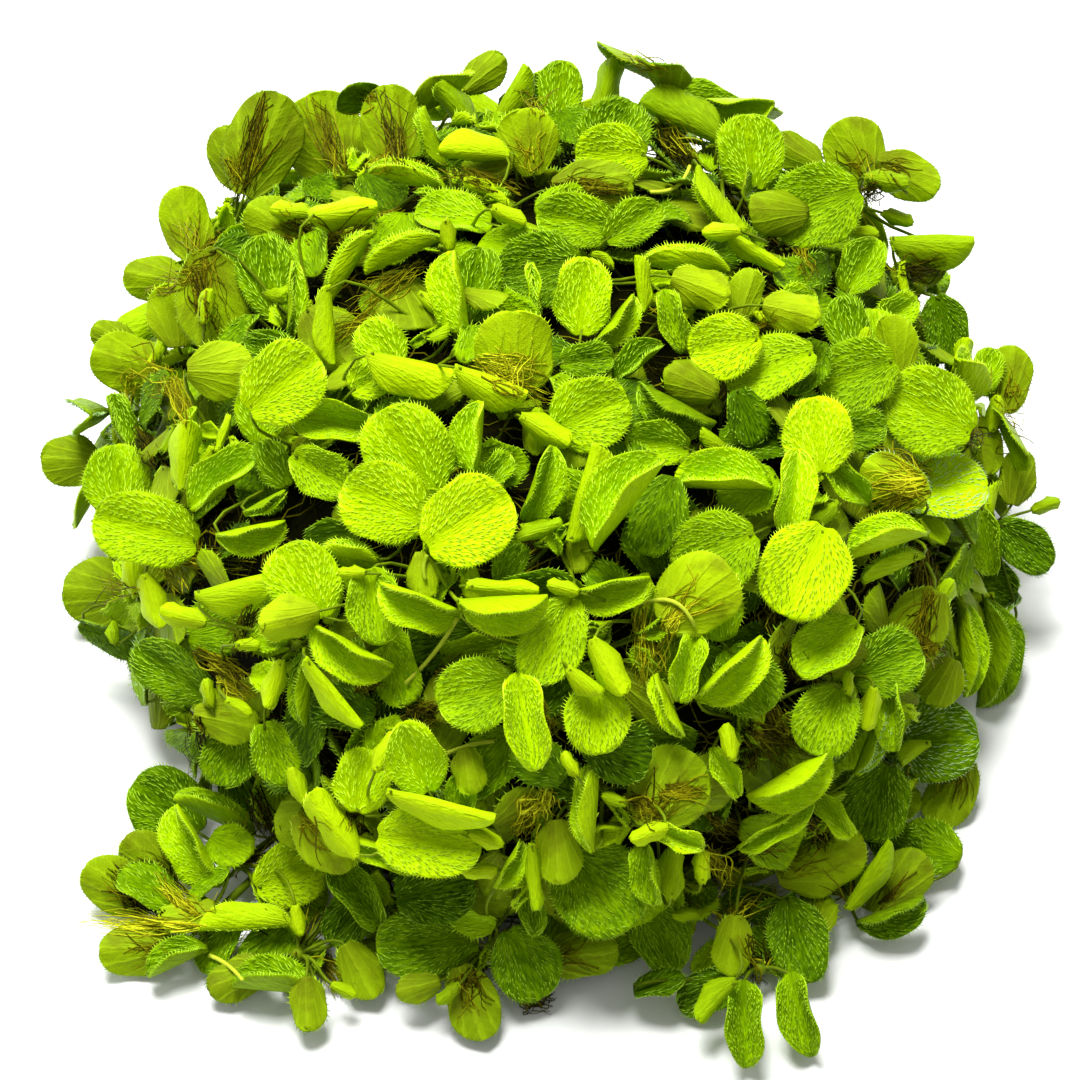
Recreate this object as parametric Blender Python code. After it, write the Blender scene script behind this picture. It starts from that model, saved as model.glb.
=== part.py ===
"""Water spangles: a heaped clump of floating fern, resting on its own tangle of roots.

The heap is a dome of sprigs round a lumpy mound of matted roots. A sprig is one grown piece: a joint of the
rhizome with a short stem, some leaves and some clam-shaped young leaves. Each leaf is written down as it is
seen from the front: where its middle shows, where its tip points, how long it is and how it is turned.
All sizes below are in millimetres and degrees. The heap stands on z = 0, centred on the origin.
"""

import itertools
import math

import bmesh
import bpy
from mathutils import Matrix, Vector, noise
from mathutils.bvhtree import BVHTree

OBJECT_NAME = "water_spangles"
MM = 0.001

# Where the heap is seen from, to place what is written down as seen
EYE_DISTANCE = 450.0
EYE_ELEVATION = 52.0
EYE_AIM = Vector((0.0, 6.0, 0.0))

# The heap, a dome with steep sides, somewhat deeper than it is wide: half width and height of the mound of
# roots, of the shell that the rhizome joints lie on and of the shell of the leaves
HEAP_STEEPNESS = 2.6
HEAP_DEPTH_OVER_WIDTH = 1.1
TANGLE_SHELL = (50.0, 43.5)
JOINT_SHELL = (52.8, 46.3)
LEAF_SHELL = (57.5, 51.0)
TANGLE_LUMPS = 2.0
TANGLE_LUMP_SIZE = 16.0
SAME_CORNER = 0.02
JOINT_REST_HEIGHT = 4.0
LEAF_REST_HEIGHT = 4.0
SIGHT_STEP = 1.0

# A sprig
BLADE_THICKNESS = 0.6
JOINT_RADIUS = 1.1
JOINT_THICKNESS = 1.0
JOINT_ROOM = 2.6
NARROWEST_SIDE = math.radians(38)
WIDEST_SIDE = math.radians(76)
SPREAD_ROUNDS = 40
FULL_TURN = 2 * math.pi
STALK_WIDTH = 1.0
STALK_THICKNESS = 0.8
SHORTEST_STALK = 2.5
STALK_REACH = 17.0
BEND_COST = 1.8
OWN_COST = 0.6
STALK_BEND = math.radians(65)
BEND_BEFORE_BLADE = 1.5
STEM_CLEARANCE = 0.5
STEM_TAPER = 0.5
FOOT_HEIGHT = 4.0
JOINT_RISE = Vector((0.0, 0.0, 20.0))

# How a leaf finds room among the others: it is moved sideways, turned or lifted as little as will do, or else
# made smaller. A turn or a lift by so much counts as a sideways move by one.
ROOM = 0.45
SIDE_STEPS = (0, -1, 1, -2, 2, -3, 3)
TURN_STEPS = (0, -12, 12, -24, 24)
LIFT_STEPS = (0, 0.5, 1, 1.5, 2, 3, 4)
TURN_AS_MOVE = 20.0
LIFT_AS_MOVE = 1.6
SMALLER = 0.86
SMALLER_TRIES = 3
FLOOR_GAP = 0.45

# Forms of leaf: width over length, fold of each half, further curl to the margin, bend of the midrib
LEAF_FORMS = {
    "round": (0.98, 5.0, 26.0, 14.0),
    "oblong": (0.76, 7.0, 28.0, 16.0),
    "cup": (0.95, 14.0, 48.0, 38.0),
    "fold": (0.92, 48.0, 28.0, 16.0),
    "slim": (0.66, 60.0, 22.0, 20.0),
    "bud": (0.95, 38.0, 46.0, 30.0),
}
BLADE_FULLNESS = 2.3
LARGE_LEAF = 10.2
LARGE_STATIONS = (0.28, 0.76)
SMALL_STATIONS = (0.52,)
SMALLEST_LEAF = 5.4

# Sprigs as seen from the front. A sprig has the place of its joint, across and up, and its leaves. A leaf has
# its form, its middle across and up, the way its tip points, its length, how far it is rolled about its
# midrib (0 shows the upper face, 180 the underside), how far its tip leans to the eye, and its layer over the
# shell. The smallest young leaves are listed with the others, but are too small for the solid.
SPRIGS = {
    "crown_sprig_01": ((-12.5, -7.5), (
        ("round", -10.3, 0.2, 43, 12.6, 0, 8, 2.5),
        ("fold", -16.8, -11.2, 160, 11.6, -30, 10, 1),
        ("fold", -5.6, -12.4, 3, 11.8, 55, 6, 1),
        ("slim", -5.6, -8.7, -3, 9.4, 180, 0, 0),
        ("cup", -22.8, -11.3, -80, 10.3, 0, 6, 0),
        ("bud", -25.9, -6.7, 180, 3.4, 180, 0, 1),
        ("slim", -26.3, -3.8, 170, 7.5, 60, 0, 0),
    )),
    "crown_sprig_02": ((-17.0, 4.5), (
        ("round", -21.5, 2.7, 155, 11.8, 0, 8, 1),
        ("round", -18.5, 9.4, 122, 13.0, 0, 10, 0),
        ("fold", -10.6, 10.3, 85, 9.8, -35, 10, 0),
        ("cup", -6.6, 7.0, 40, 5.4, 0, 0, -3),
    )),
    "crown_sprig_03": ((1.5, -2.0), (
        ("fold", 6.4, 4.0, 62, 13.0, 150, 8, 1),
        ("fold", 10.4, 2.6, 28, 15.0, -45, 10, 2.5),
        ("fold", -0.4, 5.4, 70, 10.6, 25, 10, 0),
        ("slim", -1.2, -1.4, 20, 7.0, 180, 0, 0),
        ("oblong", -4.8, -5.5, 60, 6.2, 0, 0, -4),
    )),
    "crown_sprig_04": ((-3.0, 15.5), (
        ("round", -4.1, 22.6, 92, 11.6, 180, 15, 0),
        ("fold", -7.2, 16.0, -20, 10.0, 150, 5, 1),
        ("bud", -1.2, 16.0, -30, 7.4, 180, 5, 2),
        ("round", 5.9, 14.6, 25, 10.8, 0, 10, 0),
    )),
    "crown_sprig_05": ((19.5, 9.5), (
        ("fold", 17.5, 15.3, 152, 11.2, -45, 10, 0),
        ("fold", 23.4, 7.0, 178, 12.8, 40, 8, 1),
        ("cup", 14.8, 10.6, 172, 8.6, 0, 5, -2),
        ("oblong", 5.6, 21.8, 5, 7.0, 0, 0, -1),
        ("fold", 12.4, 21.2, 40, 8.0, -30, 5, -1),
    )),
    "crown_sprig_06": ((32.5, 1.0), (
        ("round", 36.3, 11.8, 97, 10.0, 0, 8, 2.5),
        ("round", 34.5, -6.5, -90, 12.8, 0, 8, 2),
        ("fold", 31.2, 4.3, 82, 11.6, 10, 5, 1),
        ("round", 22.5, -4.0, 205, 11.6, 0, 6, 0),
        ("oblong", 41.4, 12.4, 10, 8.2, 0, 0, -2.5),
    )),
    "crown_sprig_07": ((15.0, -12.5), (
        ("round", 20.0, -9.4, 40, 11.6, 180, 12, 1),
        ("fold", 8.8, -9.8, 12, 10.6, 25, 10, 0),
        ("bud", 2.3, -8.8, 165, 4.2, 180, 0, 1),
        ("fold", 18.9, -19.4, -105, 9.4, 0, 6, 0),
        ("slim", 16.4, -24.4, -65, 8.8, 40, 0, 0),
    )),
    "crown_sprig_08": ((3.5, -18.5), (
        ("oblong", 0.9, -15.8, 245, 12.2, 0, 8, 0),
        ("bud", 8.1, -19.2, -60, 8.4, 180, 5, 2),
        ("bud", 5.2, -20.9, -35, 5.6, 150, 0, 2),
        ("round", 6.8, -26.2, -85, 9.4, 0, 6, 0),
        ("fold", -2.7, -26.8, -80, 13.0, 0, 8, 1),
        ("round", -9.3, -22.9, 195, 10.6, 0, 6, -1),
    )),
    "front_sprig_01": ((-13.0, -35.0), (
        ("cup", -17.3, -31.3, 100, 10.8, 0, 24, 0),
        ("slim", -13.8, -38.2, -14, 14.4, 160, 5, 1),
        ("oblong", -15.3, -41.3, -30, 13.6, 0, 5, 1),
        ("bud", -8.0, -42.0, -20, 4.8, 180, 0, 1),
        ("cup", -10.2, -33.2, -80, 6.2, 180, 0, -2),
    )),
    "front_sprig_02": ((-26.0, -40.0), (
        ("fold", -29.2, -36.8, 100, 10.4, 180, 5, 1.5),
        ("bud", -32.9, -35.0, 112, 5.0, 180, 0, 1),
        ("oblong", -29.6, -42.2, -45, 10.2, 180, 0, -1),
        ("slim", -20.8, -43.9, -20, 11.6, 35, 5, 0),
        ("round", -24.4, -34.3, 80, 8.4, 0, 5, -1),
        ("bud", -21.5, -30.6, 60, 5.8, 180, 0, 2),
    )),
    "front_sprig_03": ((-19.5, -51.5), (
        ("oblong", -26.7, -52.0, 235, 9.6, 0, 0, -1),
        ("fold", -24.2, -49.2, -42, 11.4, 0, 6, 0),
        ("round", -14.6, -48.8, 10, 10.4, 0, 0, -2),
        ("oblong", -13.8, -56.9, 172, 13.2, 0, 5, 2),
    )),
    "front_sprig_04": ((-1.5, -44.0), (
        ("bud", -8.9, -46.4, 180, 4.6, 180, 0, 1),
        ("fold", -4.8, -45.6, 60, 6.8, 30, 0, 0),
        ("cup", 1.8, -44.0, -85, 8.4, 180, 0, 0),
        ("slim", -0.4, -47.4, -86, 8.6, 180, 0, 1),
        ("round", 7.2, -48.8, -48, 13.2, 0, 6, 0),
        ("fold", -1.8, -51.2, -85, 7.8, 0, 0, -1),
    )),
    "front_sprig_05": ((8.0, -36.0), (
        ("slim", 5.2, -37.8, 86, 11.6, -60, 5, 1),
        ("bud", 3.4, -32.3, 120, 3.4, 180, 0, 1),
        ("bud", 9.2, -37.1, 160, 3.4, 180, 0, 0),
        ("round", 16.5, -35.6, 60, 11.6, 180, 0, -1),
        ("bud", 13.8, -41.3, 200, 5.2, 180, 0, 1.5),
        ("fold", 18.9, -38.6, -20, 7.0, 0, 0, 1.5),
    )),
    "front_sprig_06": ((16.5, -49.5), (
        ("fold", 13.0, -46.8, -80, 8.4, 25, 5, 0),
        ("bud", 16.8, -46.5, 90, 6.8, 180, 0, 1),
        ("cup", 15.5, -55.0, -62, 10.2, 0, 0, 0),
        ("bud", 18.8, -52.2, 185, 3.6, 180, 0, 1),
        ("bud", 20.8, -45.7, 92, 4.6, 180, 0, 1),
    )),
    "front_sprig_07": ((31.0, -39.5), (
        ("fold", 32.4, -34.4, 30, 12.2, 55, 5, 1),
        ("slim", 30.7, -40.4, 32, 11.4, 20, 5, 1),
        ("fold", 38.2, -38.8, -50, 7.4, 0, 0, 1.5),
        ("cup", 36.6, -44.9, 24, 12.4, 165, 0, 1),
    )),
    "front_sprig_08": ((26.0, -26.5), (
        ("bud", 24.4, -29.2, 100, 4.8, 180, 0, 1),
        ("fold", 23.8, -33.2, -60, 7.2, 0, 0, 0),
        ("fold", 24.4, -19.6, 42, 12.0, 35, 8, 1),
        ("round", 27.0, -21.0, -60, 9.6, 0, 0, -1),
    )),
    "right_sprig_01": ((41.5, -20.5), (
        ("round", 37.3, -26.3, 245, 9.6, 0, 6, 1),
        ("bud", 42.0, -24.8, -102, 5.6, 180, 0, 1.5),
        ("bud", 40.3, -21.3, 90, 2.8, 180, 0, 1),
        ("fold", 45.4, -24.4, -85, 9.8, 15, 5, 1),
        ("round", 45.4, -18.6, 20, 10.0, 0, 0, -1),
        ("cup", 37.7, -16.6, 218, 10.6, 20, 6, 1),
    )),
    "right_sprig_02": ((47.0, -33.5), (
        ("round", 51.6, -31.0, 5, 12.2, 0, 5, 1),
        ("slim", 44.4, -28.8, 45, 9.6, 50, 0, 1),
        ("round", 43.8, -37.2, 250, 10.2, 0, 0, 0),
        ("oblong", 54.0, -35.8, 235, 9.8, 180, 0, -1),
        ("cup", 45.2, -41.7, -20, 5.6, 0, 0, -1),
    )),
    "right_sprig_03": ((52.5, -14.0), (
        ("oblong", 49.0, -14.4, 240, 12.2, 180, 0, -1.5),
        ("bud", 52.7, -9.9, 62, 5.4, 180, 0, 1),
        ("slim", 55.7, -16.8, -86, 12.8, -55, 5, 1),
        ("slim", 58.2, -15.6, -86, 10.4, 150, 0, 0),
        ("fold", 60.6, -17.4, -94, 14.2, -70, 0, -1),
        ("round", 52.6, -21.0, 240, 6.8, 180, 0, -1),
    )),
    "right_sprig_04": ((49.5, 1.0), (
        ("fold", 45.5, -1.8, 186, 10.6, 55, 6, 1),
        ("round", 53.8, 2.8, 5, 10.4, -30, 0, 1),
        ("slim", 46.3, -6.2, 205, 8.8, 75, 0, 0),
        ("oblong", 46.6, 5.6, 150, 9.6, 180, 0, -1),
        ("fold", 40.0, 5.8, 135, 8.8, 0, 6, 0),
    )),
    "right_sprig_05": ((56.5, 12.0), (
        ("round", 51.2, 14.0, 165, 12.2, 0, 5, 1),
        ("bud", 60.0, 14.8, 80, 4.8, 180, 0, 1),
        ("oblong", 61.8, 19.5, 85, 8.8, 180, 0, -1),
        ("fold", 55.7, 22.0, 82, 5.8, 180, 0, 1),
        ("oblong", 58.9, 20.4, 72, 6.2, 0, 0, 0),
        ("oblong", 58.4, 10.4, -78, 7.6, 180, 0, -1),
    )),
    "right_sprig_06": ((60.0, -1.0), (
        ("oblong", 63.0, 6.3, 80, 7.2, 180, 0, -1),
        ("bud", 66.7, 2.4, 20, 3.8, 180, 0, 0),
        ("oblong", 63.8, -2.7, -40, 8.8, 0, 0, -1),
        ("fold", 58.5, -2.2, -80, 9.4, 0, 5, 0),
        ("oblong", 58.8, -7.4, -22, 8.8, 0, 0, -2),
    )),
    "right_sprig_07": ((41.5, 20.5), (
        ("round", 41.5, 19.8, 200, 10.6, 0, 8, 0),
        ("oblong", 46.8, 23.6, 96, 8.6, 160, 6, 1),
        ("cup", 46.9, 28.4, 30, 6.2, 0, 0, -1),
        ("bud", 42.5, 24.3, 80, 3.8, 180, 0, 1),
        ("oblong", 40.2, 26.3, 100, 8.2, 0, 0, -1),
    )),
    "right_sprig_08": ((50.0, 31.5), (
        ("fold", 51.8, 36.4, 0, 10.8, 150, 0, 0),
        ("oblong", 53.5, 26.3, -62, 8.6, 0, 0, -1),
        ("cup", 42.3, 34.4, 60, 8.2, 0, 0, 0),
        ("oblong", 49.8, 32.6, 200, 7.2, 180, 0, -2),
    )),
    "right_sprig_09": ((41.5, 44.0), (
        ("round", 36.0, 42.4, 200, 12.0, 0, 6, 1),
        ("round", 41.2, 49.8, 115, 9.0, 180, 0, -1),
        ("bud", 45.6, 45.8, -10, 5.8, 180, 0, 1),
        ("oblong", 48.3, 46.4, -30, 8.8, 180, 0, -1),
        ("bud", 42.5, 38.9, -5, 3.8, 180, 0, 1),
        ("bud", 47.0, 41.0, -20, 4.2, 180, 0, -1),
        ("oblong", 33.5, 49.6, 152, 7.2, 180, 0, -2),
    )),
    "rear_sprig_01": ((17.5, 29.5), (
        ("slim", 18.4, 35.3, 176, 11.6, 75, 0, 0),
        ("bud", 15.3, 32.4, 200, 3.6, 180, 0, 1),
        ("cup", 20.8, 31.2, -18, 8.0, 165, 0, 1),
        ("fold", 17.0, 26.8, -72, 8.6, 0, 6, 0),
        ("slim", 13.1, 32.0, 96, 7.4, 150, 0, 0),
    )),
    "rear_sprig_02": ((28.5, 26.5), (
        ("round", 23.8, 23.6, 170, 9.4, 0, 6, 1),
        ("cup", 31.8, 24.7, -12, 7.6, 170, 0, 1.5),
        ("oblong", 29.8, 21.0, 200, 12.2, 20, 0, 0),
        ("cup", 32.8, 29.0, 30, 7.2, 0, 0, 0),
        ("oblong", 26.7, 30.6, 75, 6.8, 180, 0, 0),
    )),
    "rear_sprig_03": ((23.5, 46.5), (
        ("round", 27.4, 49.8, 95, 9.8, 0, 4, 0),
        ("fold", 17.8, 54.6, 155, 11.8, 150, 0, 0),
        ("oblong", 21.8, 55.2, -28, 10.4, 0, 0, -1.5),
        ("bud", 23.4, 38.9, 182, 5.0, 180, 0, 1.5),
        ("slim", 23.8, 43.4, -40, 10.6, 70, 0, 0),
        ("slim", 28.0, 36.9, -55, 8.8, 150, 0, 1),
    )),
    "rear_sprig_04": ((8.0, 50.0), (
        ("round", 5.5, 50.2, 180, 9.4, 0, 10, 1),
        ("round", 9.2, 51.8, 60, 10.2, 0, 0, -1.5),
        ("fold", 8.4, 58.5, 74, 7.8, 180, 0, 0),
        ("oblong", 2.0, 57.6, 85, 8.6, 0, 0, 0),
        ("oblong", 6.5, 44.9, 0, 10.6, 180, 0, -2),
    )),
    "rear_sprig_05": ((-5.0, 50.5), (
        ("fold", -9.6, 50.5, 176, 9.2, 160, 5, 1),
        ("round", -2.4, 51.0, 100, 8.8, 180, 6, 0),
        ("fold", -4.4, 57.8, 60, 7.8, 150, 0, 0),
        ("oblong", -8.2, 60.1, 40, 6.8, 180, 0, -1),
        ("fold", -11.6, 55.8, 130, 7.8, 180, 0, -1),
    )),
    "rear_sprig_06": ((4.0, 34.5), (
        ("oblong", 4.0, 40.4, 170, 10.6, 0, 10, 0),
        ("oblong", 11.6, 40.2, 20, 8.2, 0, 6, 0),
        ("round", -0.8, 33.8, 190, 10.8, 0, 0, -2),
        ("cup", 5.0, 30.4, 88, 10.4, 0, 6, 1.5),
        ("fold", 9.1, 27.1, 40, 8.2, 40, 0, 0),
        ("slim", -1.5, 31.0, 95, 7.6, 0, 0, 0),
    )),
    "rear_sprig_07": ((-11.5, 40.0), (
        ("cup", -12.5, 42.0, 175, 10.4, 45, 6, 0),
        ("bud", -4.9, 41.3, -25, 4.8, 180, 0, 1.5),
        ("bud", -13.0, 38.5, -80, 4.2, 180, 0, 1),
        ("slim", -19.0, 35.7, 205, 11.0, 75, 0, 0),
    )),
    "rear_sprig_08": ((-12.0, 26.0), (
        ("fold", -13.9, 29.8, 100, 11.2, -35, 6, 1),
        ("oblong", -9.2, 32.0, 80, 9.6, 0, 0, -1),
        ("fold", -16.6, 22.0, -12, 11.8, 130, 6, 1.5),
        ("round", -22.0, 23.6, 130, 7.4, 0, 0, -1),
    )),
    "rear_sprig_09": ((-21.5, 46.5), (
        ("oblong", -20.5, 52.8, 95, 11.6, 180, 0, 0),
        ("slim", -15.0, 51.8, 110, 8.4, -70, 0, 0),
        ("round", -29.3, 51.4, 118, 12.4, 180, 0, 0),
        ("slim", -18.6, 46.3, 178, 10.4, 65, 0, 1),
    )),
    "left_sprig_01": ((-29.5, 38.5), (
        ("fold", -26.9, 41.3, 10, 9.0, 170, 0, 1.5),
        ("bud", -34.0, 41.7, 176, 5.4, 180, 0, 1.5),
        ("oblong", -35.4, 39.8, 150, 10.0, 180, 0, -1),
        ("slim", -24.5, 34.2, 215, 10.4, 75, 0, 0),
    )),
    "left_sprig_02": ((-43.5, 39.0), (
        ("oblong", -47.9, 40.2, 105, 9.8, 180, 0, 0),
        ("oblong", -42.0, 31.6, -65, 14.0, 180, 0, 0),
        ("oblong", -51.8, 32.7, 172, 8.8, 180, 0, -1),
        ("oblong", -37.6, 50.8, 70, 14.0, 180, 0, -1),
        ("oblong", -42.0, 49.0, 108, 8.4, 180, 0, -2),
    )),
    "left_sprig_03": ((-48.0, 22.0), (
        ("oblong", -54.0, 22.4, 165, 11.2, 180, 6, 0),
        ("round", -43.2, 20.4, 0, 8.6, 180, 6, 0),
        ("round", -49.3, 28.0, 95, 8.4, 180, 6, 0),
        ("bud", -45.2, 29.0, 82, 4.6, 180, 0, 1.5),
        ("oblong", -57.4, 24.8, 150, 6.4, 180, 0, -2),
    )),
    "left_sprig_04": ((-44.5, 8.5), (
        ("fold", -48.1, 9.2, 97, 9.2, 180, 6, 1),
        ("fold", -42.4, 6.0, 36, 11.8, -30, 6, 0),
        ("slim", -43.2, 12.0, 72, 5.0, 180, 0, 0),
        ("oblong", -37.8, 15.6, 86, 9.8, 0, 6, 0),
    )),
    "left_sprig_05": ((-54.0, 0.5), (
        ("oblong", -50.1, 1.4, 165, 13.8, 0, 5, 1.5),
        ("round", -57.0, 5.7, 95, 9.8, 0, 0, -1),
        ("fold", -56.5, 13.7, 110, 7.4, 20, 0, -1),
        ("round", -63.4, 8.5, 180, 7.6, 180, 0, -1),
    )),
    "left_sprig_06": ((-51.5, -9.5), (
        ("bud", -55.1, -6.9, 100, 5.6, 180, 0, 1.5),
        ("bud", -52.3, -7.0, -72, 7.4, 180, 0, 1.5),
        ("bud", -48.4, -12.4, 165, 6.2, 180, 0, 1.5),
        ("fold", -41.7, -9.4, 3, 10.0, 140, 6, 0),
        ("fold", -39.2, -2.0, 12, 9.2, 35, 6, 0),
        ("round", -59.4, -9.0, 176, 9.8, 180, 0, -1.5),
        ("oblong", -57.0, -15.2, -20, 10.2, 60, 0, -2),
    )),
    "left_sprig_07": ((-45.0, -24.0), (
        ("oblong", -49.6, -19.8, 120, 11.6, -30, 0, 0),
        ("bud", -45.0, -22.6, 100, 3.6, 180, 0, 1),
        ("bud", -41.0, -24.3, -30, 3.8, 180, 0, 1.5),
        ("bud", -39.7, -16.2, 0, 3.2, 180, 0, 1),
        ("oblong", -42.5, -26.3, 0, 8.6, 180, 0, -1),
        ("round", -42.2, -31.0, 250, 8.2, 0, 0, -1.5),
        ("oblong", -36.1, -30.8, -70, 8.4, 0, 0, 0),
    )),
    "left_sprig_08": ((-33.0, -16.5), (
        ("round", -32.4, -9.0, 105, 10.8, 0, 6, 1.5),
        ("cup", -34.3, -15.0, 195, 8.0, 170, 6, 2),
        ("fold", -25.6, -17.5, -28, 12.0, 35, 6, 0),
        ("fold", -36.2, -21.5, -95, 6.4, 180, 0, 1),
        ("slim", -27.2, -22.6, -50, 11.4, 160, 0, 1),
        ("slim", -32.6, -22.0, -95, 10.2, 60, 0, -1),
    )),
    "left_sprig_09": ((-32.0, 9.0), (
        ("round", -31.6, 15.3, 50, 13.2, 0, 8, 1.5),
        ("fold", -28.4, 12.5, 4, 11.8, 0, 6, 1),
        ("cup", -30.2, 6.8, -12, 8.8, 0, 6, 0),
        ("oblong", -36.3, 7.8, 120, 6.8, 0, 0, -2),
        ("slim", -37.5, 2.6, 30, 6.0, 30, 0, 0),
        ("round", -24.6, 19.2, 30, 5.8, 0, 0, 0),
    )),
    "left_sprig_10": ((-32.5, 26.5), (
        ("slim", -33.2, 30.0, 100, 10.2, 20, 0, 0),
        ("slim", -29.6, 26.3, -86, 10.2, 150, 0, 1),
        ("oblong", -37.0, 33.0, 100, 11.2, 0, 0, -2.5),
        ("oblong", -36.5, 23.3, 170, 7.4, 0, 0, -2.5),
    )),
    "floor_sprig_01": ((-46.0, -54.0), (
        ("oblong", -57.0, -48.4, 160, 10.2, 180, 8, 0),
        ("oblong", -52.6, -45.0, 140, 9.0, 180, 8, -1),
        ("oblong", -54.4, -56.8, 195, 10.2, 180, 0, -1),
        ("fold", -49.1, -58.0, 205, 8.4, 50, 0, 0),
    )),
    "floor_sprig_02": ((-41.0, -45.5), (
        ("round", -50.4, -37.6, 140, 10.8, 0, 5, -1),
        ("slim", -44.4, -38.6, 155, 11.6, 55, 5, 1),
        ("fold", -43.8, -46.0, 132, 12.2, -35, 6, 1),
        ("slim", -40.1, -52.5, 182, 12.4, 120, 0, 1),
        ("round", -34.0, -46.8, 20, 9.4, 0, 0, 0),
        ("bud", -33.0, -53.0, -80, 4.0, 180, 0, 1),
    )),
    "floor_sprig_03": ((-33.0, -57.5), (
        ("fold", -36.4, -60.2, 175, 10.8, 55, 0, 0),
        ("oblong", -31.6, -64.2, -85, 7.0, 180, 0, 0),
        ("oblong", -24.6, -59.6, -60, 8.0, 180, 0, 0),
        ("bud", -27.0, -62.0, -25, 3.6, 180, 0, 1),
        ("oblong", -41.0, -60.8, 205, 8.2, 180, 0, -1),
    )),
    "floor_sprig_04": ((-7.5, -57.5), (
        ("oblong", -9.6, -64.0, -70, 10.0, 180, 0, 0),
        ("oblong", -17.0, -62.0, 195, 5.8, 180, 0, 0),
        ("round", -2.5, -58.7, -50, 9.8, 0, 0, 1),
        ("oblong", 4.8, -57.2, 10, 9.8, 180, 0, 0),
        ("bud", -12.8, -62.6, 220, 3.8, 180, 0, 1.5),
    )),
    "floor_sprig_05": ((28.5, -59.5), (
        ("fold", 26.5, -67.0, -88, 11.4, 0, 6, 1),
        ("fold", 33.4, -65.6, -75, 11.2, 15, 6, 0),
        ("oblong", 21.6, -62.6, 205, 8.4, 0, 0, -1),
        ("fold", 22.0, -67.2, 230, 7.2, 150, 0, 1),
        ("oblong", 25.0, -56.4, -95, 7.8, 180, 0, 0),
        ("oblong", 33.8, -55.8, -75, 11.2, 0, 6, 1),
    )),
    "floor_sprig_06": ((41.0, -50.0), (
        ("slim", 42.8, -46.8, 46, 10.4, 150, 5, 1),
        ("oblong", 47.0, -48.0, 50, 10.2, 180, 0, 0),
        ("fold", 46.0, -52.3, 22, 9.4, 45, 0, 1),
    )),
}

# Sprigs of the back, which the view from the front hides: where their joints lie round the heap (azimuth
# from +X and height over the surface as angles), and the ring of leaves that each has
BACK_JOINTS = (
    (11, 15), (39, 17), (66, 14), (92, 17), (118, 14), (145, 17), (169, 15), (70, 34), (113, 34),
)
BACK_RING = (
    ("round", 9.4, 11.0, 0, 10, 0),
    ("fold", 9.0, 10.4, 25, 8, 1),
    ("oblong", 9.4, 10.6, 180, 8, 0),
    ("cup", 9.0, 9.6, 0, 10, 0),
    ("fold", 9.0, 10.2, 140, 6, 0.5),
)
BACK_REST_HEIGHT = 6.4
BACK_TURN = 67.0

# Colours: the leaves are yellow-green on top of the heap and greener towards its rim and foot
LEAF_COLOURS = {
    "crown": (0.40, 0.62, 0.02, 1.0),
    "front": (0.32, 0.53, 0.02, 1.0),
    "left": (0.30, 0.50, 0.02, 1.0),
    "right": (0.24, 0.45, 0.02, 1.0),
    "rear": (0.28, 0.47, 0.02, 1.0),
    "floor": (0.20, 0.38, 0.02, 1.0),
    "back": (0.22, 0.41, 0.02, 1.0),
}
ROOT_COLOUR = (0.13, 0.09, 0.015, 1.0)
LEAF_ROUGHNESS = 0.55
ROOT_ROUGHNESS = 0.85

elevation = math.radians(EYE_ELEVATION)
VIEW_AXIS = Vector((0.0, math.cos(elevation), -math.sin(elevation)))
EYE = EYE_AIM - VIEW_AXIS * EYE_DISTANCE
VIEW_ACROSS = Vector((1.0, 0.0, 0.0))
VIEW_UP = VIEW_ACROSS.cross(VIEW_AXIS)


def clear_scene():
    for old in list(bpy.data.objects):
        bpy.data.objects.remove(old, do_unlink=True)


def make_material(name, colour, roughness):
    material = bpy.data.materials.new(name)
    material.use_nodes = True
    shader = material.node_tree.nodes["Principled BSDF"]
    shader.inputs["Base Color"].default_value = colour
    shader.inputs["Roughness"].default_value = roughness
    shader.inputs["Metallic"].default_value = 0.0
    return material


def add_object(name, bm, material, collection):
    mesh = bpy.data.meshes.new(name)
    bm.to_mesh(mesh)
    bm.free()
    mesh.materials.append(material)
    collection.objects.link(bpy.data.objects.new(name, mesh))


def facing(toward, upright):
    """Axes across, up and out of the picture, as columns, for something that faces along toward."""
    across = upright.cross(toward).normalized()
    return Matrix((across, toward.cross(across), toward)).transposed()


def outside(point, shell):
    """How far a point lies outside a shell: negative inside it, zero on it."""
    half_width, height = shell
    around = math.hypot(point.x, point.y / HEAP_DEPTH_OVER_WIDTH) / half_width
    upward = max(point.z, 0.0) / height
    return (around ** HEAP_STEEPNESS + upward ** HEAP_STEEPNESS) ** (1 / HEAP_STEEPNESS) - 1


def shell_radius(outward, shell):
    """Distance from the origin to a shell, along an outward direction."""
    return 1 / (outside(outward, shell) + 1)


def as_seen(across, up, shell, rest_height):
    """The point of a shell, or of the surface below, that shows at this place, and the way to the eye."""
    ray = (EYE_AIM + VIEW_ACROSS * across + VIEW_UP * up - EYE).normalized()
    rest = (rest_height - EYE.z) / ray.z
    distance = EYE_DISTANCE - 2 * shell[0]
    nearest = distance
    while distance < rest and outside(EYE + ray * distance, shell) > 0:
        distance += SIGHT_STEP
        if outside(EYE + ray * distance, shell) < outside(EYE + ray * nearest, shell):
            nearest = distance
    return EYE + ray * min(nearest, rest), -ray


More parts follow.
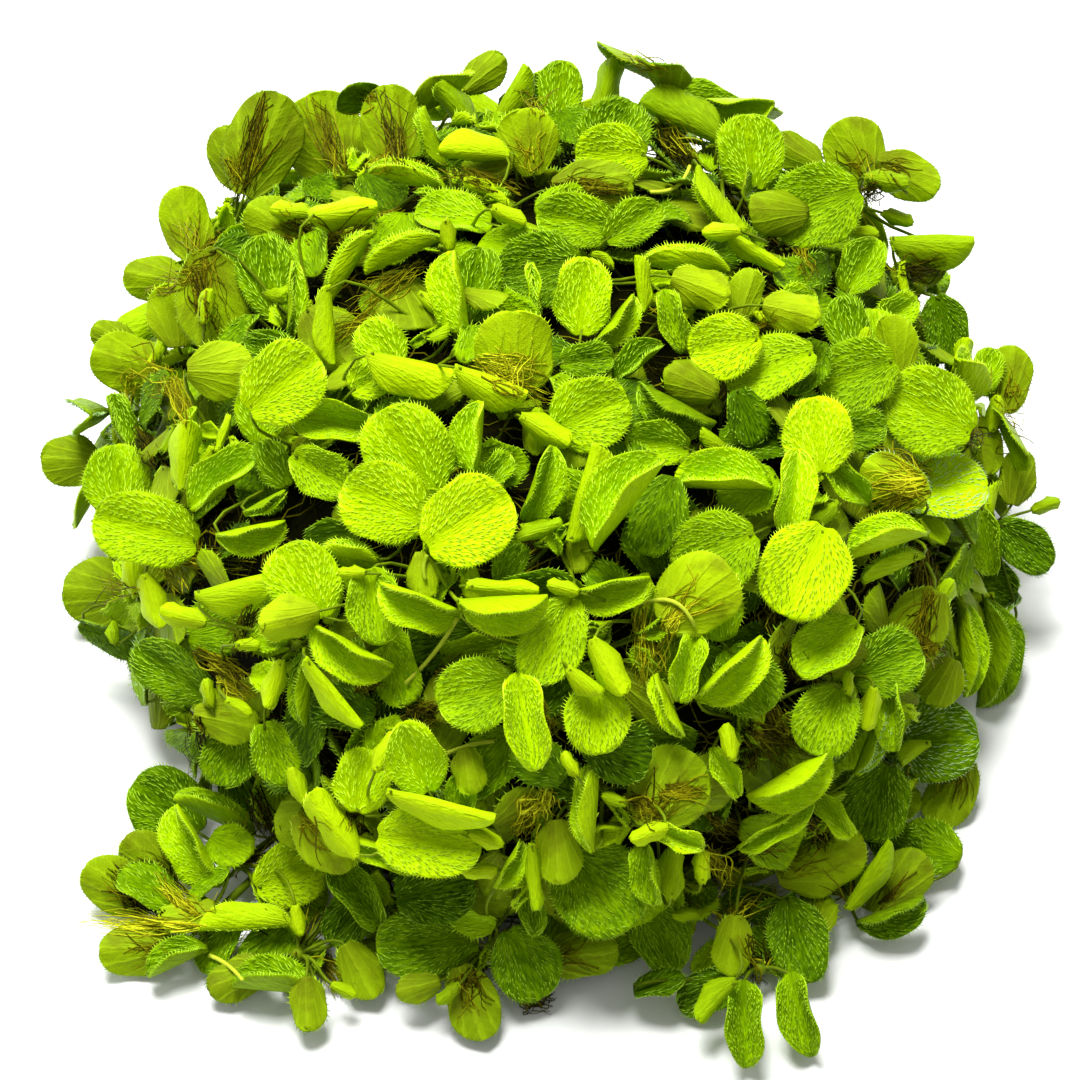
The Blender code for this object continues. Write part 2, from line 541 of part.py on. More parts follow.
def blade_point(form, length, along, side):
    """A point of a blade: midrib along +Y from the origin, upper face to +Z, side from -1 to 1."""
    width, fold, curl, bend = LEAF_FORMS[form]
    fold, curl, bend = math.radians(fold), math.radians(curl), math.radians(bend)
    half_width = length * width / 2
    lean = bend * (along - 0.5)
    midrib_y = length / bend * (math.sin(lean) + math.sin(bend / 2))
    midrib_z = length / bend * (math.cos(bend / 2) - math.cos(lean))
    out = abs(side) * max(0.0, 1.0 - abs(2 * along - 1) ** BLADE_FULLNESS) ** (1 / BLADE_FULLNESS)
    edge = fold + curl * out
    across = half_width / curl * (math.sin(edge) - math.sin(fold))
    rise = half_width / curl * (math.cos(fold) - math.cos(edge))
    y = midrib_y - rise * math.sin(lean)
    z = midrib_z + rise * math.cos(lean)
    return Vector((math.copysign(across, side), y, z))


class Leaf:
    """One leaf: its blade's outline in the heap, and what it grows from."""

    def __init__(self, sprig, form, length, pose, middle, out, layer):
        self.sprig = sprig
        self.form = form
        self.length = length
        self.pose = pose
        self.middle = middle
        self.out = out
        self.layer = layer

    def rows(self, move):
        """The blade's base edge, its rows of three points and its tip, placed in the heap and moved."""
        across, up, turn, lift = move
        rows = [[Vector((side * STALK_WIDTH / 2, 0.0, 0.0)) for side in (-1, 1)]]
        for along in LARGE_STATIONS if self.length > LARGE_LEAF else SMALL_STATIONS:
            rows.append([blade_point(self.form, self.length, along, side) for side in (-1, 0, 1)])
        rows.append([blade_point(self.form, self.length, 1.0, 0)])
        pose = Matrix.Rotation(math.radians(turn), 3, "Z") @ self.pose
        turned = [[pose @ point for point in row] for row in rows]
        flat = [point for row in turned for point in row]
        low = Vector(min(point[axis] for point in flat) for axis in range(3))
        high = Vector(max(point[axis] for point in flat) for axis in range(3))
        place = self.middle + self.out @ Vector((across, up, self.layer + lift))
        return [[place + self.out @ (point - (low + high) / 2) for point in row] for row in turned]


def blade_faces(rows):
    """Triangles and quads, as index lists, over the rows that follow one another."""
    faces = []
    start = 0
    for row, following in zip(rows, rows[1:]):
        here = list(range(start, start + len(row)))
        there = list(range(start + len(row), start + len(row) + len(following)))
        if len(row) == 2:
            faces += [[here[0], here[1], there[1]], [here[0], there[1], there[0]]]
            faces += [[here[1], there[2], there[1]]]
        elif len(following) == 3:
            faces += [[here[0], here[1], there[1], there[0]], [here[1], here[2], there[2], there[1]]]
        else:
            faces += [[here[0], here[1], there[0]], [here[1], here[2], there[0]]]
        start += len(row)
    return faces


def thickened(points, faces, thickness):
    """Corners and faces of a closed shell of this thickness round an open sheet."""
    normals = [Vector() for _ in points]
    edges = {}
    for face in faces:
        normal = (points[face[1]] - points[face[0]]).cross(points[face[2]] - points[face[0]])
        for i, corner in enumerate(face):
            normals[corner] += normal
            edge = (corner, face[(i + 1) % len(face)])
            edges[tuple(sorted(edge))] = None if tuple(sorted(edge)) in edges else edge
    offsets = [normal.normalized() * thickness / 2 for normal in normals]
    count = len(points)
    corners = [p + o for p, o in zip(points, offsets)] + [p - o for p, o in zip(points, offsets)]
    walls = [[a, b, b + count, a + count] for a, b in filter(None, edges.values())]
    return corners, list(faces) + [[corner + count for corner in reversed(face)] for face in faces] + walls


class Sprig:
    """A joint of the rhizome on the heap, with its leaves round it and its stem down to near the roots."""

    def __init__(self, name, joint, out, tangle_tree):
        self.name = name
        self.joint = joint
        self.leaves = []
        self.out = out
        self.frame = facing(out, out.orthogonal())
        foot = tangle_tree.find_nearest(Vector((joint.x, joint.y, max(joint.z, FOOT_HEIGHT))))[0]
        drop = foot - joint
        self.stem = drop.normalized() * max(drop.length - STEM_CLEARANCE - BLADE_THICKNESS / 2, STALK_WIDTH)

    def bearing(self, base):
        """The way from the joint to the base of a blade, as an angle round the joint."""
        local = self.frame.transposed() @ (sum(base, Vector()) / len(base) - self.joint)
        return math.atan2(local.y, local.x)


def stalk_bend(joint, rows):
    """Where a stalk bends before its blade, with the bend's way through and its side; none if it runs straight."""
    base = sum(rows[0], Vector()) / 2
    along = (rows[1][1] - base).normalized()
    if (base - joint).angle(along) < STALK_BEND:
        return None
    bend = base - along * BEND_BEFORE_BLADE
    through = ((bend - joint).normalized() + along).normalized()
    side = (rows[0][1] - rows[0][0]).normalized()
    return bend, through, (side - through * side.dot(through)).normalized()


def stalk_sheet(sprig, rows):
    """A stalk, from its joint to its blade or its bend, as points and faces."""
    bend = stalk_bend(sprig.joint, rows)
    end = bend[0] if bend else sum(rows[0], Vector()) / 2
    way = end - sprig.joint
    side = way.cross(sprig.out).normalized() * STALK_WIDTH / 2
    near = sprig.joint + way.normalized() * JOINT_RADIUS
    return [near + side, near - side, end + side, end - side], [[0, 1, 3, 2]]


def stem_sheet(sprig):
    """A strip through a sprig's joint and down its stem, as points and faces."""
    side = sprig.stem.cross(sprig.frame.col[1]).normalized() * STALK_WIDTH / 2
    top = sprig.joint - sprig.stem.normalized() * JOINT_RADIUS
    foot = sprig.joint + sprig.stem
    return [top - side, top + side, foot - side, foot + side], [[0, 1, 3, 2]]


class Solid:
    """The tree of a thin closed shell, with the ball that holds it."""

    def __init__(self, points, faces, thickness):
        self.tree = BVHTree.FromPolygons(*thickened(points, faces, thickness))
        self.middle = sum(points, Vector()) / len(points)
        self.reach = max((point - self.middle).length for point in points) + thickness

    def meets(self, others):
        near = [other for other in others if (self.middle - other.middle).length < self.reach + other.reach]
        return any(self.tree.overlap(other.tree) for other in near)


class Heap:
    """All that has its place so far, to test the next leaf against."""

    def __init__(self, tangle_tree, sprigs):
        self.tangle_tree = tangle_tree
        self.sprigs = sprigs
        self.blades = []
        self.stems = [Solid(*stem_sheet(sprig), JOINT_ROOM) for sprig in sprigs]
        self.stalks = {sprig: [] for sprig in sprigs}

    def blade_has_room(self, rows):
        points = [point for row in rows for point in row]
        if min(point.z for point in points) < BLADE_THICKNESS / 2 + FLOOR_GAP:
            return False
        blade = Solid(points, blade_faces(rows), BLADE_THICKNESS + 2 * ROOM)
        if blade.tree.overlap(self.tangle_tree):
            return False
        return not blade.meets(self.blades + self.stems + sum(self.stalks.values(), []))

    def stalk_has_room(self, sprig, rows):
        """Whether a stalk is clear of all but its own joint and what that carries."""
        stalk = Solid(*stalk_sheet(sprig, rows), BLADE_THICKNESS + 2 * ROOM)
        others = [each for other, each in zip(self.sprigs, self.stems) if other is not sprig]
        others += [each for other, stalks in self.stalks.items() if other is not sprig for each in stalks]
        return not stalk.tree.overlap(self.tangle_tree) and not stalk.meets(self.blades + others)

    def joint_for(self, leaf, rows):
        """The joint that a leaf grows from: within reach, with room, and a short and straight way to the blade."""
        base = sum(rows[0], Vector()) / 2
        along = (rows[1][1] - base).normalized()
        ways = {sprig: base - sprig.joint for sprig in self.sprigs}
        near = [sprig for sprig in self.sprigs if SHORTEST_STALK < ways[sprig].length < STALK_REACH]
        near.sort(key=lambda sprig: ways[sprig].length * (BEND_COST - ways[sprig].normalized().dot(along))
                  * (OWN_COST if sprig is leaf.sprig else 1.0))
        return next((sprig for sprig in near if self.stalk_has_room(sprig, rows)
                     and not crosses_itself(*sprig_shell(sprig, sprig.leaves + [rows]))), None)

    def settle(self, leaf, moves):
        """Keep a leaf by the least move that gives it room; a leaf that finds no room is left out."""
        for _ in range(SMALLER_TRIES):
            for move in moves:
                rows = leaf.rows(move)
                sprig = self.joint_for(leaf, rows) if self.blade_has_room(rows) else None
                if sprig:
                    self.keep(rows, sprig)
                    return
            leaf.length *= SMALLER

    def keep(self, rows, sprig):
        sprig.leaves.append(rows)
        points = [point for row in rows for point in row]
        self.blades.append(Solid(points, blade_faces(rows), BLADE_THICKNESS))
        self.stalks[sprig].append(Solid(*stalk_sheet(sprig, rows), BLADE_THICKNESS))


def least_moves():
    """Moves of a leaf across, up, round and off the heap, the least first."""
    def size(move):
        across, up, turn, lift = move
        return math.hypot(across, up) + abs(turn) / TURN_AS_MOVE + lift / LIFT_AS_MOVE

    return sorted(itertools.product(SIDE_STEPS, SIDE_STEPS, TURN_STEPS, LIFT_STEPS), key=size)


def leaf_pose(angle, roll, lean):
    """Turn of a blade in the picture: tip along the angle, leaning out, rolled about its midrib."""
    return (Matrix.Rotation(math.radians(angle - 90), 3, "Z") @ Matrix.Rotation(math.radians(lean), 3, "X")
            @ Matrix.Rotation(math.radians(roll), 3, "Y"))


def seen_leaves(tangle_tree):
    """The leaves of the front with their sprigs, from where they are seen."""
    for name, (joint_place, leaves) in SPRIGS.items():
        joint, _ = as_seen(*joint_place, JOINT_SHELL, JOINT_REST_HEIGHT)
        sprig = Sprig(name, joint, (joint + JOINT_RISE).normalized(), tangle_tree)
        for form, across, up, angle, length, roll, lean, layer in leaves:
            middle, toward = as_seen(across, up, LEAF_SHELL, LEAF_REST_HEIGHT)
            nearness = (middle - EYE).dot(VIEW_AXIS) / EYE_DISTANCE
            pose = leaf_pose(angle, roll, lean)
            yield Leaf(sprig, form, length * nearness, pose, middle, facing(toward, VIEW_UP), layer)


def back_leaves(tangle_tree):
    """The leaves of the back with their sprigs, in rings round their joints."""
    for number, (azimuth, height) in enumerate(BACK_JOINTS, start=1):
        azimuth, height = math.radians(azimuth), math.radians(height)
        level = math.cos(height)
        outward = Vector((level * math.cos(azimuth), level * math.sin(azimuth), math.sin(height)))
        joint = outward * shell_radius(outward, JOINT_SHELL)
        sprig = Sprig(f"back_sprig_{number:02d}", joint, outward, tangle_tree)
        for place, (form, distance, length, roll, lean, layer) in enumerate(BACK_RING):
            angle = BACK_TURN * number + 360 / len(BACK_RING) * place
            way = Vector((math.cos(math.radians(angle)), math.sin(math.radians(angle)), 0.0)) * distance
            middle = outward * shell_radius(outward, LEAF_SHELL) + sprig.frame @ way
            middle.z = max(middle.z, BACK_REST_HEIGHT)
            yield Leaf(sprig, form, length, leaf_pose(angle, roll, lean), middle, sprig.frame, layer)


def tangle_mesh():
    """The mound of matted roots: half a ball drawn out to the heap's dome, with lumps and a flat base."""
    bm = bmesh.new()
    bmesh.ops.create_icosphere(bm, subdivisions=3, radius=1.0)
    bmesh.ops.bisect_plane(bm, geom=bm.verts[:] + bm.edges[:] + bm.faces[:], plane_co=(0, 0, 0),
                           plane_no=(0, 0, 1), clear_inner=True)
    bmesh.ops.remove_doubles(bm, verts=bm.verts[:], dist=SAME_CORNER)
    bmesh.ops.contextual_create(bm, geom=[edge for edge in bm.edges if edge.is_boundary])
    for vertex in bm.verts:
        outward = vertex.co.normalized()
        lump = TANGLE_LUMPS * noise.noise(outward * TANGLE_SHELL[0] / TANGLE_LUMP_SIZE)
        vertex.co = outward * (shell_radius(outward, TANGLE_SHELL) + lump)
    bmesh.ops.recalc_face_normals(bm, faces=bm.faces[:])
    return bm


def joint_sides(sprig, leaves):
    """The sides of a joint in order round it: each one's bearing, and the blade that it carries or none."""
    arms = sorted(leaves, key=lambda rows: sprig.bearing(rows[0]))
    bearings = [sprig.bearing(rows[0]) for rows in arms]
    least = min(NARROWEST_SIDE, FULL_TURN / (len(arms) + 1))
    pairs = [(i, (i + 1) % len(arms), FULL_TURN if i + 1 == len(arms) else 0.0) for i in range(len(arms))]
    for _ in range(SPREAD_ROUNDS):
        for here, there, turn in pairs:
            push = max(least - (bearings[there] + turn - bearings[here]), 0.0) / 2
            bearings[here] -= push
            bearings[there] += push
    sides = []
    for here, there, turn in pairs:
        gap = bearings[there] + turn - bearings[here]
        steps = math.ceil(gap / WIDEST_SIDE)
        sides.append((bearings[here], arms[here]))
        sides += [(bearings[here] + gap * step / steps, None) for step in range(1, steps)]
    return sides


def joint_rings(sprig, sides):
    """Corners of the top and the underside of a joint, and of the foot of its stem, between its sides."""
    least = min((there - here) % FULL_TURN for (here, _), (there, _) in zip(sides, sides[1:] + sides[:1]))
    radius = max(JOINT_RADIUS, STALK_WIDTH / 2 / math.sin(least / 2))
    ways = []
    for (before, _), (after, _) in zip(sides[-1:] + sides[:-1], sides):
        angle = after - (after - before) % FULL_TURN / 2
        ways.append(sprig.frame @ Vector((math.cos(angle), math.sin(angle), 0.0)) * radius)
    half = sprig.out * JOINT_THICKNESS / 2
    foot = sprig.joint + sprig.stem
    return ([sprig.joint + half + way for way in ways] + [sprig.joint - half + way for way in ways]
            + [foot + way * STEM_TAPER for way in ways])


def joined(corners, start, end):
    """Four faces from one ring of four corners to another, with as little twist as can be."""
    turned = [end[first:] + end[:first] for first in range(4)]
    end = min(turned, key=lambda ring: sum((corners[a] - corners[b]).length for a, b in zip(start, ring)))
    return [(start[i], start[(i + 1) % 4], end[(i + 1) % 4], end[i]) for i in range(4)]


def sprig_shell(sprig, leaves):
    """Corners and triangles of a sprig: a joint that narrows to its stem's foot, and stalks into blades."""
    sides = joint_sides(sprig, leaves)
    count = len(sides)
    corners = joint_rings(sprig, sides)
    faces = [tuple(range(count)), tuple(range(2 * count, 3 * count))]
    for here, (_, rows) in enumerate(sides):
        there = (here + 1) % count
        faces.append((2 * count + here, 2 * count + there, count + there, count + here))
        ring = (count + here, count + there, there, here)
        if rows is None:
            faces.append(ring)
            continue
        bend = stalk_bend(sprig.joint, rows)
        if bend:
            place, through, across = bend
            width, thickness = across * STALK_WIDTH / 2, across.cross(through) * STALK_THICKNESS / 2
            corners += [place + thickness - width, place + thickness + width,
                        place - thickness + width, place - thickness - width]
            bent = tuple(range(len(corners) - 4, len(corners)))
            faces += joined(corners, ring, bent)
            ring = bent
        points = [point for row in rows for point in row]
        start = len(corners)
        base = tuple(start + corner for corner in (0, 1, 1 + len(points), len(points)))
        blade, blade_shell = thickened(points, blade_faces(rows), BLADE_THICKNESS)
        corners += blade
        placed = [tuple(start + corner for corner in face) for face in blade_shell]
        faces += [face for face in placed if set(face) != set(base)]
        faces += joined(corners, ring, base)
    return corners, [(face[0], *pair) for face in faces for pair in zip(face[1:], face[2:])]


def crosses_itself(corners, triangles):
    tree = BVHTree.FromPolygons(corners, triangles, all_triangles=True)
    return any(not set(triangles[a]) & set(triangles[b]) for a, b in tree.overlap(tree))


def sprig_mesh(sprig):
    bm = bmesh.new()
    corners, triangles = sprig_shell(sprig, sprig.leaves)
    vertices = [bm.verts.new(corner * MM) for corner in corners]
    for triangle in triangles:
        bm.faces.new([vertices[corner] for corner in triangle])
    bmesh.ops.recalc_face_normals(bm, faces=bm.faces[:])
    return bm


def main():
    clear_scene()
    collection = bpy.data.collections.new(OBJECT_NAME)
    bpy.context.scene.collection.children.link(collection)

    mound = tangle_mesh()
    tangle_tree = BVHTree.FromBMesh(mound)
    leaves = list(seen_leaves(tangle_tree)) + list(back_leaves(tangle_tree))
    sprigs = list(dict.fromkeys(leaf.sprig for leaf in leaves))
    heap = Heap(tangle_tree, sprigs)
    moves = least_moves()
    for leaf in sorted(leaves, key=lambda leaf: leaf.layer):
        if leaf.length > SMALLEST_LEAF:
            heap.settle(leaf, moves)

    bmesh.ops.scale(mound, vec=(MM, MM, MM), verts=mound.verts[:])
    roots = make_material("root_tangle", ROOT_COLOUR, ROOT_ROUGHNESS)
    add_object("root_tangle", mound, roots, collection)
    for sprig in sprigs:
        colour = LEAF_COLOURS[sprig.name.split("_")[0]]
        green = make_material(sprig.name, colour, LEAF_ROUGHNESS)
        add_object(sprig.name, sprig_mesh(sprig), green, collection)


main()
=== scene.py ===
import itertools
import math
import random

import bmesh
import bpy
import numpy as np
from mathutils import Matrix, Vector, noise
from mathutils.bvhtree import BVHTree


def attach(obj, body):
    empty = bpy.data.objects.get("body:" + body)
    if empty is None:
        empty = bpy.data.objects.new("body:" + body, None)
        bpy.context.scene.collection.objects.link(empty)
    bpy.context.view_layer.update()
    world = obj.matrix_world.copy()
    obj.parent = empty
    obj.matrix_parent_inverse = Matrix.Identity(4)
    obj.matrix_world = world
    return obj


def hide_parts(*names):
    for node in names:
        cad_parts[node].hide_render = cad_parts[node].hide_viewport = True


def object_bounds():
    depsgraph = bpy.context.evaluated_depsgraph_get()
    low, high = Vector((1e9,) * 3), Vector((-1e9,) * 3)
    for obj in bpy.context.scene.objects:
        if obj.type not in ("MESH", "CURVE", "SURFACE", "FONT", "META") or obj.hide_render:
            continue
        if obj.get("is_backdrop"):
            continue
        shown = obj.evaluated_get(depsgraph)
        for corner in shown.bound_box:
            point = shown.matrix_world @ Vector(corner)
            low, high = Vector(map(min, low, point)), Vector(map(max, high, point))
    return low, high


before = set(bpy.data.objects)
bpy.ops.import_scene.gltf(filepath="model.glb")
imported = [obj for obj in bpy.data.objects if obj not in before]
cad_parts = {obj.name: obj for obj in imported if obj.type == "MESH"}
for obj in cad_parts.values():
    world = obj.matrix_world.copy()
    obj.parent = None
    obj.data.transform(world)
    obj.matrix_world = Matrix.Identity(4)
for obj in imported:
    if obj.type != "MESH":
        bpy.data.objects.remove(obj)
cad_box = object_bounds()

# The camera looks down on the front of the clump from arm's length. Everything here is in millimetres
# until it becomes a mesh. The clump stands on z = 0 with its middle over the origin.
MM = 0.001
EYE_DISTANCE = 450.0
EYE_ELEVATION = 52.0
EYE_AIM = Vector((0.0, 6.0, 0.0))
SENSOR = 36.0
LENS = 112.5
ASIDE = -0.67
ALOFT = -2.0

elevation = math.radians(EYE_ELEVATION)
VIEW_AXIS = Vector((0.0, math.cos(elevation), -math.sin(elevation)))
EYE = EYE_AIM - VIEW_AXIS * EYE_DISTANCE
VIEW_ACROSS = Vector((1.0, 0.0, 0.0))
VIEW_UP = VIEW_ACROSS.cross(VIEW_AXIS)

camera_data = bpy.data.cameras.new("camera")
camera_data.sensor_width = SENSOR
camera_data.lens = LENS
camera = bpy.data.objects.new("camera", camera_data)
camera.location = (EYE + VIEW_ACROSS * ASIDE + VIEW_UP * ALOFT) * MM
camera.rotation_euler = (math.radians(90 - EYE_ELEVATION), 0.0, 0.0)
bpy.context.scene.collection.objects.link(camera)
bpy.context.scene.camera = camera


# The floor is a plain pale sheet that the clump has been set down on to drain. The light is soft: a white
# room all round, a wide lamp overhead on the near side and a weaker one from the left.
FLOOR_SIZE = 3.0
FLOOR_COLOUR = (0.86, 0.87, 0.85, 1.0)
ROOM_COLOUR = (1.0, 1.0, 1.0, 1.0)
ROOM_LIGHT = 0.42
FLOOR_ROUGHNESS = 0.6
LAMP_AIM = Vector((0.0, 0.0, 0.02))
LAMPS = (
    ("lamp_over", (-0.12, 0.20, 0.80), 0.40, 12.0),
    ("lamp_left", (-0.60, 0.35, 0.55), 0.50, 1.5),
)

floor_mesh = bpy.data.meshes.new("floor")
half = FLOOR_SIZE / 2
floor_mesh.from_pydata([(-half, -half, 0.0), (half, -half, 0.0), (half, half, 0.0), (-half, half, 0.0)], [],
                       [(0, 1, 2, 3)])
floor = bpy.data.objects.new("floor", floor_mesh)
bpy.context.scene.collection.objects.link(floor)
floor_material = bpy.data.materials.new("floor_sheet")
floor_material.use_nodes = True
floor_shader = floor_material.node_tree.nodes["Principled BSDF"]
floor_shader.inputs["Base Color"].default_value = FLOOR_COLOUR
floor_shader.inputs["Roughness"].default_value = FLOOR_ROUGHNESS
floor_mesh.materials.append(floor_material)
floor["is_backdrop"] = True

for name, place, size, power in LAMPS:
    lamp_data = bpy.data.lights.new(name, "AREA")
    lamp_data.shape = "DISK"
    lamp_data.size = size
    lamp_data.energy = power
    lamp = bpy.data.objects.new(name, lamp_data)
    lamp.location = place
    lamp.rotation_euler = (LAMP_AIM - lamp.location).to_track_quat("-Z", "Y").to_euler()
    bpy.context.scene.collection.objects.link(lamp)

room = bpy.data.worlds.new("room")
room.use_nodes = True
room.node_tree.nodes["Background"].inputs["Color"].default_value = ROOM_COLOUR
room.node_tree.nodes["Background"].inputs["Strength"].default_value = ROOM_LIGHT
bpy.context.scene.world = room
bpy.context.scene.view_settings.view_transform = "Standard"


# The form of the heap: a dome with steep sides, somewhat deeper than it is wide. The mound of roots, the
# joints of the rhizome and the leaves each lie on a shell of this form, one outside the other.
HEAP_STEEPNESS = 2.6
HEAP_DEPTH_OVER_WIDTH = 1.1
TANGLE_SHELL = (50.0, 43.5)
JOINT_SHELL = (52.8, 46.3)
LEAF_SHELL = (57.5, 51.0)
TANGLE_LUMPS = 2.0
TANGLE_LUMP_SIZE = 16.0
TANGLE_ROUNDNESS = 3
SAME_CORNER = 0.02
JOINT_REST_HEIGHT = 4.0
LEAF_REST_HEIGHT = 4.0
SIGHT_STEP = 1.0


def facing(toward, upright):
    """Axes across, up and out of the picture, as columns, for something that faces along toward."""
    across = upright.cross(toward).normalized()
    return Matrix((across, toward.cross(across), toward)).transposed()


def outside(point, shell):
    """How far a point lies outside a shell: negative inside it, zero on it."""
    half_width, height = shell
    around = math.hypot(point.x, point.y / HEAP_DEPTH_OVER_WIDTH) / half_width
    upward = max(point.z, 0.0) / height
    return (around ** HEAP_STEEPNESS + upward ** HEAP_STEEPNESS) ** (1 / HEAP_STEEPNESS) - 1


def shell_radius(outward, shell):
    """Distance from the origin to a shell, along an outward direction."""
    return 1 / (outside(outward, shell) + 1)


def as_seen(across, up, shell, rest_height):
    """The point of a shell, or of the surface below, that shows at this place, and the way to the eye."""
    ray = (EYE_AIM + VIEW_ACROSS * across + VIEW_UP * up - EYE).normalized()
    rest = (rest_height - EYE.z) / ray.z
    distance = EYE_DISTANCE - 2 * shell[0]
    nearest = distance
    while distance < rest and outside(EYE + ray * distance, shell) > 0:
        distance += SIGHT_STEP
        if outside(EYE + ray * distance, shell) < outside(EYE + ray * nearest, shell):
            nearest = distance
    return EYE + ray * min(nearest, rest), -ray


# How the leaves lie. Each leaf is written down as it is seen from the front, and the heap then gives each its
# room by the least move, and a stalk from a joint within reach. The joints sit on the mound of roots.
BLADE_THICKNESS = 0.6
JOINT_RADIUS = 1.1
JOINT_THICKNESS = 1.0
JOINT_ROOM = 2.6
NARROWEST_SIDE = math.radians(38)
WIDEST_SIDE = math.radians(76)
SPREAD_ROUNDS = 40
FULL_TURN = 2 * math.pi
STALK_WIDTH = 1.0
STALK_THICKNESS = 0.8
SHORTEST_STALK = 2.5
STALK_REACH = 17.0
BEND_COST = 1.8
OWN_COST = 0.6
STALK_BEND = math.radians(65)
BEND_BEFORE_BLADE = 1.5
STEM_CLEARANCE = 0.5
STEM_TAPER = 0.5
FOOT_HEIGHT = 4.0
JOINT_RISE = Vector((0.0, 0.0, 20.0))
ROOM = 0.45
SIDE_STEPS = (0, -1, 1, -2, 2, -3, 3)
TURN_STEPS = (0, -12, 12, -24, 24)
LIFT_STEPS = (0, 0.5, 1, 1.5, 2, 3, 4)
TURN_AS_MOVE = 20.0
LIFT_AS_MOVE = 1.6
SMALLER = 0.86
SMALLER_TRIES = 3
FLOOR_GAP = 0.45

# Forms of leaf: width over length, fold of each half, further curl to the margin, bend of the midrib
LEAF_FORMS = {
    "round": (0.98, 5.0, 26.0, 14.0),
    "oblong": (0.76, 7.0, 28.0, 16.0),
    "cup": (0.95, 14.0, 48.0, 38.0),
    "fold": (0.92, 48.0, 28.0, 16.0),
    "slim": (0.66, 60.0, 22.0, 20.0),
    "bud": (0.95, 38.0, 46.0, 30.0),
}
BLADE_FULLNESS = 2.3
LARGE_LEAF = 10.2
LARGE_STATIONS = (0.28, 0.76)
SMALL_STATIONS = (0.52,)
SMALLEST_LEAF = 5.4

